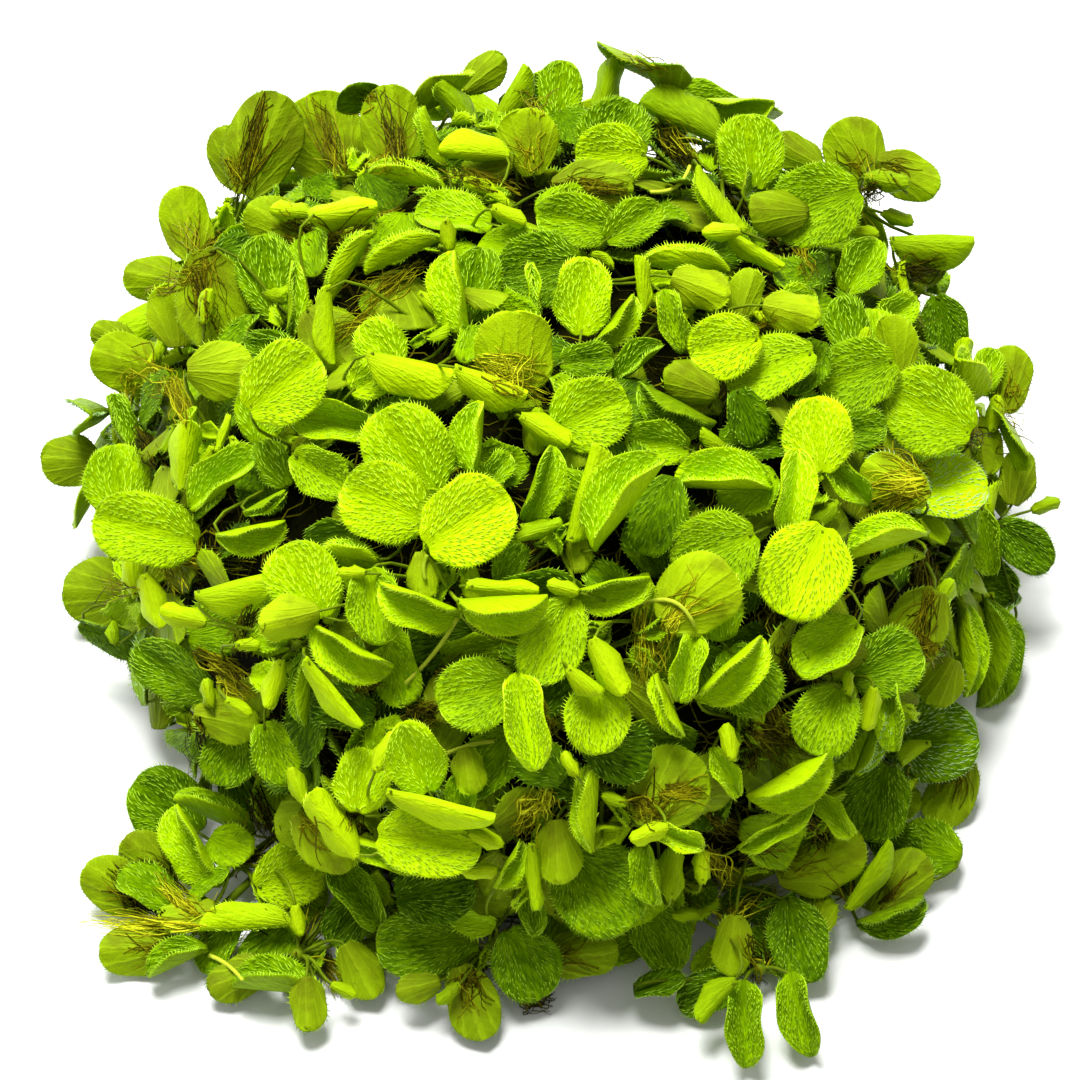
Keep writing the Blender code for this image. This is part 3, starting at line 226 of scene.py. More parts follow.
# Each sprig has the place of its joint, across and up, and its leaves. A leaf has its form, its middle across
# and up, the way its tip points, its length, its roll about the midrib (0 shows the upper face, 180 the
# underside), how far its tip leans to the eye, its layer over the shell, and how bright it is: its tone,
# which paints light and shade into its colour as well as its own green.
SPRIGS = {
    "crown_sprig_01": ((-12.5, -7.5), (
        ("round", -10.3, 0.2, 43, 12.6, 0, 8, 2.5, 1),
        ("fold", -16.8, -11.2, 160, 11.6, -30, 10, 1, 0.85),
        ("fold", -5.6, -12.4, 3, 11.8, 55, 6, 1, 0.85),
        ("slim", -5.6, -8.7, -3, 9.4, 180, 0, 0, 0.95),
        ("cup", -22.8, -11.3, -80, 10.3, 0, 6, 0, 0.6),
        ("bud", -25.9, -6.7, 180, 3.4, 180, 0, 1, 0.95),
        ("slim", -26.3, -3.8, 170, 7.5, 60, 0, 0, 0.8),
    )),
    "crown_sprig_02": ((-17.0, 4.5), (
        ("round", -21.5, 2.7, 155, 11.8, 0, 8, 1, 0.85),
        ("round", -18.5, 9.4, 122, 13.0, 0, 10, 0, 0.75),
        ("fold", -10.6, 10.3, 85, 9.8, -35, 10, 0, 0.8),
        ("cup", -6.6, 7.0, 40, 5.4, 0, 0, -3, 0.45),
    )),
    "crown_sprig_03": ((1.5, -2.0), (
        ("fold", 6.4, 4.0, 62, 13.0, 150, 8, 1, 0.9),
        ("fold", 10.4, 2.6, 28, 15.0, -45, 10, 2.5, 0.75),
        ("fold", -0.4, 5.4, 70, 10.6, 25, 10, 0, 0.6),
        ("slim", -1.2, -1.4, 20, 7.0, 180, 0, 0, 0.6),
        ("oblong", -4.8, -5.5, 60, 6.2, 0, 0, -4, 0.4),
    )),
    "crown_sprig_04": ((-3.0, 15.5), (
        ("round", -4.1, 22.6, 92, 11.6, 180, 15, 0, 0.95),
        ("fold", -7.2, 16.0, -20, 10.0, 150, 5, 1, 1),
        ("bud", -1.2, 16.0, -30, 7.4, 180, 5, 2, 1),
        ("round", 5.9, 14.6, 25, 10.8, 0, 10, 0, 0.7),
    )),
    "crown_sprig_05": ((19.5, 9.5), (
        ("fold", 17.5, 15.3, 152, 11.2, -45, 10, 0, 0.35),
        ("fold", 23.4, 7.0, 178, 12.8, 40, 8, 1, 0.85),
        ("cup", 14.8, 10.6, 172, 8.6, 0, 5, -2, 0.6),
        ("oblong", 5.6, 21.8, 5, 7.0, 0, 0, -1, 0.35),
        ("fold", 12.4, 21.2, 40, 8.0, -30, 5, -1, 0.4),
    )),
    "crown_sprig_06": ((32.5, 1.0), (
        ("round", 36.3, 11.8, 97, 10.0, 0, 8, 2.5, 1),
        ("round", 34.5, -6.5, -90, 12.8, 0, 8, 2, 0.95),
        ("fold", 31.2, 4.3, 82, 11.6, 10, 5, 1, 0.95),
        ("round", 22.5, -4.0, 205, 11.6, 0, 6, 0, 0.55),
        ("oblong", 41.4, 12.4, 10, 8.2, 0, 0, -2.5, 0.35),
    )),
    "crown_sprig_07": ((15.0, -12.5), (
        ("round", 20.0, -9.4, 40, 11.6, 180, 12, 1, 0.9),
        ("fold", 8.8, -9.8, 12, 10.6, 25, 10, 0, 0.75),
        ("bud", 2.3, -8.8, 165, 4.2, 180, 0, 1, 0.95),
        ("fold", 18.9, -19.4, -105, 9.4, 0, 6, 0, 0.7),
        ("slim", 16.4, -24.4, -65, 8.8, 40, 0, 0, 0.8),
    )),
    "crown_sprig_08": ((3.5, -18.5), (
        ("oblong", 0.9, -15.8, 245, 12.2, 0, 8, 0, 0.65),
        ("bud", 8.1, -19.2, -60, 8.4, 180, 5, 2, 1),
        ("bud", 5.2, -20.9, -35, 5.6, 150, 0, 2, 0.9),
        ("round", 6.8, -26.2, -85, 9.4, 0, 6, 0, 0.75),
        ("fold", -2.7, -26.8, -80, 13.0, 0, 8, 1, 0.9),
        ("round", -9.3, -22.9, 195, 10.6, 0, 6, -1, 0.55),
    )),
    "front_sprig_01": ((-13.0, -35.0), (
        ("cup", -17.3, -31.3, 100, 10.8, 0, 24, 0, 0.8),
        ("slim", -13.8, -38.2, -14, 14.4, 160, 5, 1, 0.95),
        ("oblong", -15.3, -41.3, -30, 13.6, 0, 5, 1, 0.85),
        ("bud", -8.0, -42.0, -20, 4.8, 180, 0, 1, 0.95),
        ("cup", -10.2, -33.2, -80, 6.2, 180, 0, -2, 0.7),
    )),
    "front_sprig_02": ((-26.0, -40.0), (
        ("fold", -29.2, -36.8, 100, 10.4, 180, 5, 1.5, 1),
        ("bud", -32.9, -35.0, 112, 5.0, 180, 0, 1, 0.85),
        ("oblong", -29.6, -42.2, -45, 10.2, 180, 0, -1, 0.6),
        ("slim", -20.8, -43.9, -20, 11.6, 35, 5, 0, 0.85),
        ("round", -24.4, -34.3, 80, 8.4, 0, 5, -1, 0.8),
        ("bud", -21.5, -30.6, 60, 5.8, 180, 0, 2, 1),
    )),
    "front_sprig_03": ((-19.5, -51.5), (
        ("oblong", -26.7, -52.0, 235, 9.6, 0, 0, -1, 0.2),
        ("fold", -24.2, -49.2, -42, 11.4, 0, 6, 0, 0.35),
        ("round", -14.6, -48.8, 10, 10.4, 0, 0, -2, 0.15),
        ("oblong", -13.8, -56.9, 172, 13.2, 0, 5, 2, 0.35),
    )),
    "front_sprig_04": ((-1.5, -44.0), (
        ("bud", -8.9, -46.4, 180, 4.6, 180, 0, 1, 0.95),
        ("fold", -4.8, -45.6, 60, 6.8, 30, 0, 0, 0.7),
        ("cup", 1.8, -44.0, -85, 8.4, 180, 0, 0, 0.6),
        ("slim", -0.4, -47.4, -86, 8.6, 180, 0, 1, 0.65),
        ("round", 7.2, -48.8, -48, 13.2, 0, 6, 0, 0.4),
        ("fold", -1.8, -51.2, -85, 7.8, 0, 0, -1, 0.4),
    )),
    "front_sprig_05": ((8.0, -36.0), (
        ("slim", 5.2, -37.8, 86, 11.6, -60, 5, 1, 0.75),
        ("bud", 3.4, -32.3, 120, 3.4, 180, 0, 1, 1),
        ("bud", 9.2, -37.1, 160, 3.4, 180, 0, 0, 0.7),
        ("round", 16.5, -35.6, 60, 11.6, 180, 0, -1, 0.35),
        ("bud", 13.8, -41.3, 200, 5.2, 180, 0, 1.5, 1),
        ("fold", 18.9, -38.6, -20, 7.0, 0, 0, 1.5, 0.9),
    )),
    "front_sprig_06": ((16.5, -49.5), (
        ("fold", 13.0, -46.8, -80, 8.4, 25, 5, 0, 0.55),
        ("bud", 16.8, -46.5, 90, 6.8, 180, 0, 1, 0.7),
        ("cup", 15.5, -55.0, -62, 10.2, 0, 0, 0, 0.35),
        ("bud", 18.8, -52.2, 185, 3.6, 180, 0, 1, 0.6),
        ("bud", 20.8, -45.7, 92, 4.6, 180, 0, 1, 0.95),
    )),
    "front_sprig_07": ((31.0, -39.5), (
        ("fold", 32.4, -34.4, 30, 12.2, 55, 5, 1, 0.85),
        ("slim", 30.7, -40.4, 32, 11.4, 20, 5, 1, 0.75),
        ("fold", 38.2, -38.8, -50, 7.4, 0, 0, 1.5, 0.8),
        ("cup", 36.6, -44.9, 24, 12.4, 165, 0, 1, 0.7),
    )),
    "front_sprig_08": ((26.0, -26.5), (
        ("bud", 24.4, -29.2, 100, 4.8, 180, 0, 1, 1),
        ("fold", 23.8, -33.2, -60, 7.2, 0, 0, 0, 0.75),
        ("fold", 24.4, -19.6, 42, 12.0, 35, 8, 1, 0.85),
        ("round", 27.0, -21.0, -60, 9.6, 0, 0, -1, 0.4),
    )),
    "right_sprig_01": ((41.5, -20.5), (
        ("round", 37.3, -26.3, 245, 9.6, 0, 6, 1, 0.5),
        ("bud", 42.0, -24.8, -102, 5.6, 180, 0, 1.5, 1),
        ("bud", 40.3, -21.3, 90, 2.8, 180, 0, 1, 0.8),
        ("fold", 45.4, -24.4, -85, 9.8, 15, 5, 1, 0.6),
        ("round", 45.4, -18.6, 20, 10.0, 0, 0, -1, 0.35),
        ("cup", 37.7, -16.6, 218, 10.6, 20, 6, 1, 0.65),
    )),
    "right_sprig_02": ((47.0, -33.5), (
        ("round", 51.6, -31.0, 5, 12.2, 0, 5, 1, 0.3),
        ("slim", 44.4, -28.8, 45, 9.6, 50, 0, 1, 0.7),
        ("round", 43.8, -37.2, 250, 10.2, 0, 0, 0, 0.25),
        ("oblong", 54.0, -35.8, 235, 9.8, 180, 0, -1, 0.4),
        ("cup", 45.2, -41.7, -20, 5.6, 0, 0, -1, 0.2),
    )),
    "right_sprig_03": ((52.5, -14.0), (
        ("oblong", 49.0, -14.4, 240, 12.2, 180, 0, -1.5, 0.3),
        ("bud", 52.7, -9.9, 62, 5.4, 180, 0, 1, 0.7),
        ("slim", 55.7, -16.8, -86, 12.8, -55, 5, 1, 0.6),
        ("slim", 58.2, -15.6, -86, 10.4, 150, 0, 0, 0.75),
        ("fold", 60.6, -17.4, -94, 14.2, -70, 0, -1, 0.35),
        ("round", 52.6, -21.0, 240, 6.8, 180, 0, -1, 0.4),
    )),
    "right_sprig_04": ((49.5, 1.0), (
        ("fold", 45.5, -1.8, 186, 10.6, 55, 6, 1, 0.85),
        ("round", 53.8, 2.8, 5, 10.4, -30, 0, 1, 0.85),
        ("slim", 46.3, -6.2, 205, 8.8, 75, 0, 0, 0.7),
        ("oblong", 46.6, 5.6, 150, 9.6, 180, 0, -1, 0.75),
        ("fold", 40.0, 5.8, 135, 8.8, 0, 6, 0, 0.6),
    )),
    "right_sprig_05": ((56.5, 12.0), (
        ("round", 51.2, 14.0, 165, 12.2, 0, 5, 1, 0.65),
        ("bud", 60.0, 14.8, 80, 4.8, 180, 0, 1, 1),
        ("oblong", 61.8, 19.5, 85, 8.8, 180, 0, -1, 0.5),
        ("fold", 55.7, 22.0, 82, 5.8, 180, 0, 1, 0.9),
        ("oblong", 58.9, 20.4, 72, 6.2, 0, 0, 0, 0.55),
        ("oblong", 58.4, 10.4, -78, 7.6, 180, 0, -1, 0.4),
    )),
    "right_sprig_06": ((60.0, -1.0), (
        ("oblong", 63.0, 6.3, 80, 7.2, 180, 0, -1, 0.25),
        ("bud", 66.7, 2.4, 20, 3.8, 180, 0, 0, 0.6),
        ("oblong", 63.8, -2.7, -40, 8.8, 0, 0, -1, 0.15),
        ("fold", 58.5, -2.2, -80, 9.4, 0, 5, 0, 0.5),
        ("oblong", 58.8, -7.4, -22, 8.8, 0, 0, -2, 0.2),
    )),
    "right_sprig_07": ((41.5, 20.5), (
        ("round", 41.5, 19.8, 200, 10.6, 0, 8, 0, 0.5),
        ("oblong", 46.8, 23.6, 96, 8.6, 160, 6, 1, 0.65),
        ("cup", 46.9, 28.4, 30, 6.2, 0, 0, -1, 0.65),
        ("bud", 42.5, 24.3, 80, 3.8, 180, 0, 1, 0.85),
        ("oblong", 40.2, 26.3, 100, 8.2, 0, 0, -1, 0.35),
    )),
    "right_sprig_08": ((50.0, 31.5), (
        ("fold", 51.8, 36.4, 0, 10.8, 150, 0, 0, 0.6),
        ("oblong", 53.5, 26.3, -62, 8.6, 0, 0, -1, 0.2),
        ("cup", 42.3, 34.4, 60, 8.2, 0, 0, 0, 0.5),
        ("oblong", 49.8, 32.6, 200, 7.2, 180, 0, -2, 0.2),
    )),
    "right_sprig_09": ((41.5, 44.0), (
        ("round", 36.0, 42.4, 200, 12.0, 0, 6, 1, 0.5),
        ("round", 41.2, 49.8, 115, 9.0, 180, 0, -1, 0.5),
        ("bud", 45.6, 45.8, -10, 5.8, 180, 0, 1, 0.55),
        ("oblong", 48.3, 46.4, -30, 8.8, 180, 0, -1, 0.5),
        ("bud", 42.5, 38.9, -5, 3.8, 180, 0, 1, 0.8),
        ("bud", 47.0, 41.0, -20, 4.2, 180, 0, -1, 0.5),
        ("oblong", 33.5, 49.6, 152, 7.2, 180, 0, -2, 0.35),
    )),
    "rear_sprig_01": ((17.5, 29.5), (
        ("slim", 18.4, 35.3, 176, 11.6, 75, 0, 0, 0.85),
        ("bud", 15.3, 32.4, 200, 3.6, 180, 0, 1, 0.95),
        ("cup", 20.8, 31.2, -18, 8.0, 165, 0, 1, 0.95),
        ("fold", 17.0, 26.8, -72, 8.6, 0, 6, 0, 0.6),
        ("slim", 13.1, 32.0, 96, 7.4, 150, 0, 0, 0.85),
    )),
    "rear_sprig_02": ((28.5, 26.5), (
        ("round", 23.8, 23.6, 170, 9.4, 0, 6, 1, 0.9),
        ("cup", 31.8, 24.7, -12, 7.6, 170, 0, 1.5, 0.95),
        ("oblong", 29.8, 21.0, 200, 12.2, 20, 0, 0, 0.7),
        ("cup", 32.8, 29.0, 30, 7.2, 0, 0, 0, 0.75),
        ("oblong", 26.7, 30.6, 75, 6.8, 180, 0, 0, 0.65),
    )),
    "rear_sprig_03": ((23.5, 46.5), (
        ("round", 27.4, 49.8, 95, 9.8, 0, 4, 0, 0.6),
        ("fold", 17.8, 54.6, 155, 11.8, 150, 0, 0, 0.45),
        ("oblong", 21.8, 55.2, -28, 10.4, 0, 0, -1.5, 0.5),
        ("bud", 23.4, 38.9, 182, 5.0, 180, 0, 1.5, 1),
        ("slim", 23.8, 43.4, -40, 10.6, 70, 0, 0, 0.8),
        ("slim", 28.0, 36.9, -55, 8.8, 150, 0, 1, 0.9),
    )),
    "rear_sprig_04": ((8.0, 50.0), (
        ("round", 5.5, 50.2, 180, 9.4, 0, 10, 1, 0.8),
        ("round", 9.2, 51.8, 60, 10.2, 0, 0, -1.5, 0.35),
        ("fold", 8.4, 58.5, 74, 7.8, 180, 0, 0, 0.6),
        ("oblong", 2.0, 57.6, 85, 8.6, 0, 0, 0, 0.45),
        ("oblong", 6.5, 44.9, 0, 10.6, 180, 0, -2, 0.3),
    )),
    "rear_sprig_05": ((-5.0, 50.5), (
        ("fold", -9.6, 50.5, 176, 9.2, 160, 5, 1, 0.95),
        ("round", -2.4, 51.0, 100, 8.8, 180, 6, 0, 0.75),
        ("fold", -4.4, 57.8, 60, 7.8, 150, 0, 0, 0.65),
        ("oblong", -8.2, 60.1, 40, 6.8, 180, 0, -1, 0.45),
        ("fold", -11.6, 55.8, 130, 7.8, 180, 0, -1, 0.45),
    )),
    "rear_sprig_06": ((4.0, 34.5), (
        ("oblong", 4.0, 40.4, 170, 10.6, 0, 10, 0, 0.5),
        ("oblong", 11.6, 40.2, 20, 8.2, 0, 6, 0, 0.5),
        ("round", -0.8, 33.8, 190, 10.8, 0, 0, -2, 0.3),
        ("cup", 5.0, 30.4, 88, 10.4, 0, 6, 1.5, 0.85),
        ("fold", 9.1, 27.1, 40, 8.2, 40, 0, 0, 0.75),
        ("slim", -1.5, 31.0, 95, 7.6, 0, 0, 0, 0.75),
    )),
    "rear_sprig_07": ((-11.5, 40.0), (
        ("cup", -12.5, 42.0, 175, 10.4, 45, 6, 0, 0.6),
        ("bud", -4.9, 41.3, -25, 4.8, 180, 0, 1.5, 1),
        ("bud", -13.0, 38.5, -80, 4.2, 180, 0, 1, 0.9),
        ("slim", -19.0, 35.7, 205, 11.0, 75, 0, 0, 0.8),
    )),
    "rear_sprig_08": ((-12.0, 26.0), (
        ("fold", -13.9, 29.8, 100, 11.2, -35, 6, 1, 0.9),
        ("oblong", -9.2, 32.0, 80, 9.6, 0, 0, -1, 0.35),
        ("fold", -16.6, 22.0, -12, 11.8, 130, 6, 1.5, 0.95),
        ("round", -22.0, 23.6, 130, 7.4, 0, 0, -1, 0.75),
    )),
    "rear_sprig_09": ((-21.5, 46.5), (
        ("oblong", -20.5, 52.8, 95, 11.6, 180, 0, 0, 0.45),
        ("slim", -15.0, 51.8, 110, 8.4, -70, 0, 0, 0.55),
        ("round", -29.3, 51.4, 118, 12.4, 180, 0, 0, 0.55),
        ("slim", -18.6, 46.3, 178, 10.4, 65, 0, 1, 0.8),
    )),
    "left_sprig_01": ((-29.5, 38.5), (
        ("fold", -26.9, 41.3, 10, 9.0, 170, 0, 1.5, 1),
        ("bud", -34.0, 41.7, 176, 5.4, 180, 0, 1.5, 0.95),
        ("oblong", -35.4, 39.8, 150, 10.0, 180, 0, -1, 0.5),
        ("slim", -24.5, 34.2, 215, 10.4, 75, 0, 0, 0.75),
    )),
    "left_sprig_02": ((-43.5, 39.0), (
        ("oblong", -47.9, 40.2, 105, 9.8, 180, 0, 0, 0.65),
        ("oblong", -42.0, 31.6, -65, 14.0, 180, 0, 0, 0.45),
        ("oblong", -51.8, 32.7, 172, 8.8, 180, 0, -1, 0.5),
        ("oblong", -37.6, 50.8, 70, 14.0, 180, 0, -1, 0.2),
        ("oblong", -42.0, 49.0, 108, 8.4, 180, 0, -2, 0.3),
    )),
    "left_sprig_03": ((-48.0, 22.0), (
        ("oblong", -54.0, 22.4, 165, 11.2, 180, 6, 0, 0.6),
        ("round", -43.2, 20.4, 0, 8.6, 180, 6, 0, 0.75),
        ("round", -49.3, 28.0, 95, 8.4, 180, 6, 0, 0.75),
        ("bud", -45.2, 29.0, 82, 4.6, 180, 0, 1.5, 0.8),
        ("oblong", -57.4, 24.8, 150, 6.4, 180, 0, -2, 0.35),
    )),
    "left_sprig_04": ((-44.5, 8.5), (
        ("fold", -48.1, 9.2, 97, 9.2, 180, 6, 1, 0.85),
        ("fold", -42.4, 6.0, 36, 11.8, -30, 6, 0, 0.65),
        ("slim", -43.2, 12.0, 72, 5.0, 180, 0, 0, 0.95),
        ("oblong", -37.8, 15.6, 86, 9.8, 0, 6, 0, 0.6),
    )),
    "left_sprig_05": ((-54.0, 0.5), (
        ("oblong", -50.1, 1.4, 165, 13.8, 0, 5, 1.5, 0.75),
        ("round", -57.0, 5.7, 95, 9.8, 0, 0, -1, 0.6),
        ("fold", -56.5, 13.7, 110, 7.4, 20, 0, -1, 0.4),
        ("round", -63.4, 8.5, 180, 7.6, 180, 0, -1, 0.3),
    )),
    "left_sprig_06": ((-51.5, -9.5), (
        ("bud", -55.1, -6.9, 100, 5.6, 180, 0, 1.5, 1),
        ("bud", -52.3, -7.0, -72, 7.4, 180, 0, 1.5, 1),
        ("bud", -48.4, -12.4, 165, 6.2, 180, 0, 1.5, 1),
        ("fold", -41.7, -9.4, 3, 10.0, 140, 6, 0, 0.8),
        ("fold", -39.2, -2.0, 12, 9.2, 35, 6, 0, 0.8),
        ("round", -59.4, -9.0, 176, 9.8, 180, 0, -1.5, 0.25),
        ("oblong", -57.0, -15.2, -20, 10.2, 60, 0, -2, 0.2),
    )),
    "left_sprig_07": ((-45.0, -24.0), (
        ("oblong", -49.6, -19.8, 120, 11.6, -30, 0, 0, 0.3),
        ("bud", -45.0, -22.6, 100, 3.6, 180, 0, 1, 0.75),
        ("bud", -41.0, -24.3, -30, 3.8, 180, 0, 1.5, 0.95),
        ("bud", -39.7, -16.2, 0, 3.2, 180, 0, 1, 0.9),
        ("oblong", -42.5, -26.3, 0, 8.6, 180, 0, -1, 0.55),
        ("round", -42.2, -31.0, 250, 8.2, 0, 0, -1.5, 0.35),
        ("oblong", -36.1, -30.8, -70, 8.4, 0, 0, 0, 0.45),
    )),
    "left_sprig_08": ((-33.0, -16.5), (
        ("round", -32.4, -9.0, 105, 10.8, 0, 6, 1.5, 0.8),
        ("cup", -34.3, -15.0, 195, 8.0, 170, 6, 2, 0.95),
        ("fold", -25.6, -17.5, -28, 12.0, 35, 6, 0, 0.85),
        ("fold", -36.2, -21.5, -95, 6.4, 180, 0, 1, 0.95),
        ("slim", -27.2, -22.6, -50, 11.4, 160, 0, 1, 0.9),
        ("slim", -32.6, -22.0, -95, 10.2, 60, 0, -1, 0.45),
    )),
    "left_sprig_09": ((-32.0, 9.0), (
        ("round", -31.6, 15.3, 50, 13.2, 0, 8, 1.5, 0.8),
        ("fold", -28.4, 12.5, 4, 11.8, 0, 6, 1, 0.75),
        ("cup", -30.2, 6.8, -12, 8.8, 0, 6, 0, 0.65),
        ("oblong", -36.3, 7.8, 120, 6.8, 0, 0, -2, 0.4),
        ("slim", -37.5, 2.6, 30, 6.0, 30, 0, 0, 0.55),
        ("round", -24.6, 19.2, 30, 5.8, 0, 0, 0, 0.85),
    )),
    "left_sprig_10": ((-32.5, 26.5), (
        ("slim", -33.2, 30.0, 100, 10.2, 20, 0, 0, 0.6),
        ("slim", -29.6, 26.3, -86, 10.2, 150, 0, 1, 0.85),
        ("oblong", -37.0, 33.0, 100, 11.2, 0, 0, -2.5, 0.35),
        ("oblong", -36.5, 23.3, 170, 7.4, 0, 0, -2.5, 0.25),
    )),
    "floor_sprig_01": ((-46.0, -54.0), (
        ("oblong", -57.0, -48.4, 160, 10.2, 180, 8, 0, 0.45),
        ("oblong", -52.6, -45.0, 140, 9.0, 180, 8, -1, 0.35),
        ("oblong", -54.4, -56.8, 195, 10.2, 180, 0, -1, 0.4),
        ("fold", -49.1, -58.0, 205, 8.4, 50, 0, 0, 0.45),
    )),
    "floor_sprig_02": ((-41.0, -45.5), (
        ("round", -50.4, -37.6, 140, 10.8, 0, 5, -1, 0.3),
        ("slim", -44.4, -38.6, 155, 11.6, 55, 5, 1, 0.6),
        ("fold", -43.8, -46.0, 132, 12.2, -35, 6, 1, 0.7),
        ("slim", -40.1, -52.5, 182, 12.4, 120, 0, 1, 0.85),
        ("round", -34.0, -46.8, 20, 9.4, 0, 0, 0, 0.8),
        ("bud", -33.0, -53.0, -80, 4.0, 180, 0, 1, 0.95),
    )),
    "floor_sprig_03": ((-33.0, -57.5), (
        ("fold", -36.4, -60.2, 175, 10.8, 55, 0, 0, 0.45),
        ("oblong", -31.6, -64.2, -85, 7.0, 180, 0, 0, 0.45),
        ("oblong", -24.6, -59.6, -60, 8.0, 180, 0, 0, 0.55),
        ("bud", -27.0, -62.0, -25, 3.6, 180, 0, 1, 0.75),
        ("oblong", -41.0, -60.8, 205, 8.2, 180, 0, -1, 0.15),
    )),
    "floor_sprig_04": ((-7.5, -57.5), (
        ("oblong", -9.6, -64.0, -70, 10.0, 180, 0, 0, 0.25),
        ("oblong", -17.0, -62.0, 195, 5.8, 180, 0, 0, 0.4),
        ("round", -2.5, -58.7, -50, 9.8, 0, 0, 1, 0.3),
        ("oblong", 4.8, -57.2, 10, 9.8, 180, 0, 0, 0.3),
        ("bud", -12.8, -62.6, 220, 3.8, 180, 0, 1.5, 0.5),
    )),
    "floor_sprig_05": ((28.5, -59.5), (
        ("fold", 26.5, -67.0, -88, 11.4, 0, 6, 1, 0.45),
        ("fold", 33.4, -65.6, -75, 11.2, 15, 6, 0, 0.45),
        ("oblong", 21.6, -62.6, 205, 8.4, 0, 0, -1, 0.15),
        ("fold", 22.0, -67.2, 230, 7.2, 150, 0, 1, 0.55),
        ("oblong", 25.0, -56.4, -95, 7.8, 180, 0, 0, 0.6),
        ("oblong", 33.8, -55.8, -75, 11.2, 0, 6, 1, 0.25),
    )),
    "floor_sprig_06": ((41.0, -50.0), (
        ("slim", 42.8, -46.8, 46, 10.4, 150, 5, 1, 0.6),
        ("oblong", 47.0, -48.0, 50, 10.2, 180, 0, 0, 0.2),
        ("fold", 46.0, -52.3, 22, 9.4, 45, 0, 1, 0.25),
    )),
}

# The sprigs of the back: where their joints lie round the heap, as angles, and the ring of leaves round each
BACK_JOINTS = (
    (11, 15), (39, 17), (66, 14), (92, 17), (118, 14), (145, 17), (169, 15), (70, 34), (113, 34),
)
BACK_RING = (
    ("round", 9.4, 11.0, 0, 10, 0),
    ("fold", 9.0, 10.4, 25, 8, 1),
    ("oblong", 9.4, 10.6, 180, 8, 0),
    ("cup", 9.0, 9.6, 0, 10, 0),
    ("fold", 9.0, 10.2, 140, 6, 0.5),
)
BACK_REST_HEIGHT = 6.4
BACK_TURN = 67.0
BACK_TONES = (0.7, 0.45, 0.85, 0.55, 0.3, 0.75, 0.6)


def blade_point(form, length, along, side):
    """A point of a blade: midrib along +Y from the origin, upper face to +Z, side from -1 to 1."""
    width, fold, curl, bend = LEAF_FORMS[form]
    fold, curl, bend = math.radians(fold), math.radians(curl), math.radians(bend)
    half_width = length * width / 2
    lean = bend * (along - 0.5)
    midrib_y = length / bend * (math.sin(lean) + math.sin(bend / 2))
    midrib_z = length / bend * (math.cos(bend / 2) - math.cos(lean))
    out = abs(side) * max(0.0, 1.0 - abs(2 * along - 1) ** BLADE_FULLNESS) ** (1 / BLADE_FULLNESS)
    edge = fold + curl * out
    across = half_width / curl * (math.sin(edge) - math.sin(fold))
    rise = half_width / curl * (math.cos(fold) - math.cos(edge))
    y = midrib_y - rise * math.sin(lean)
    z = midrib_z + rise * math.cos(lean)
    return Vector((math.copysign(across, side), y, z))


def blade_faces(rows):
    """Triangles and quads, as index lists, over the rows that follow one another."""
    faces = []
    start = 0
    for row, following in zip(rows, rows[1:]):
        here = list(range(start, start + len(row)))
        there = list(range(start + len(row), start + len(row) + len(following)))
        if len(row) == 2:
            faces += [[here[0], here[1], there[1]], [here[0], there[1], there[0]]]
            faces += [[here[1], there[2], there[1]]]
        elif len(following) == 3:
            faces += [[here[0], here[1], there[1], there[0]], [here[1], here[2], there[2], there[1]]]
        else:
            faces += [[here[0], here[1], there[0]], [here[1], here[2], there[0]]]
        start += len(row)
    return faces


def thickened(points, faces, thickness):
    """Corners and faces of a closed shell of this thickness round an open sheet."""
    normals = [Vector() for _ in points]
    edges = {}
    for face in faces:
        normal = (points[face[1]] - points[face[0]]).cross(points[face[2]] - points[face[0]])
        for i, corner in enumerate(face):
            normals[corner] += normal
            edge = (corner, face[(i + 1) % len(face)])
            edges[tuple(sorted(edge))] = None if tuple(sorted(edge)) in edges else edge
    offsets = [normal.normalized() * thickness / 2 for normal in normals]
    count = len(points)
    corners = [p + o for p, o in zip(points, offsets)] + [p - o for p, o in zip(points, offsets)]
    walls = [[a, b, b + count, a + count] for a, b in filter(None, edges.values())]
    return corners, list(faces) + [[corner + count for corner in reversed(face)] for face in faces] + walls


class Leaf:
    """One leaf: its blade's outline in the heap, and what it grows from."""

    def __init__(self, sprig, form, length, pose, middle, out, layer, tone, roll):
        self.sprig = sprig
        self.form = form
        self.length = length
        self.pose = pose
        self.middle = middle
        self.out = out
        self.layer = layer
        self.tone = tone
        self.roll = roll

    def rows(self, move):
        """The blade's base edge, its rows of three points and its tip, placed in the heap and moved."""
        across, up, turn, lift = move
        rows = [[Vector((side * STALK_WIDTH / 2, 0.0, 0.0)) for side in (-1, 1)]]
        for along in LARGE_STATIONS if self.length > LARGE_LEAF else SMALL_STATIONS:
            rows.append([blade_point(self.form, self.length, along, side) for side in (-1, 0, 1)])
        rows.append([blade_point(self.form, self.length, 1.0, 0)])
        pose = Matrix.Rotation(math.radians(turn), 3, "Z") @ self.pose
        turned = [[pose @ point for point in row] for row in rows]
        flat = [point for row in turned for point in row]
        low = Vector(min(point[axis] for point in flat) for axis in range(3))
        high = Vector(max(point[axis] for point in flat) for axis in range(3))
        self.turn = self.out @ pose
        self.place = self.middle + self.out @ (Vector((across, up, self.layer + lift)) - (low + high) / 2)
        return [[self.place + self.out @ point for point in row] for row in turned]


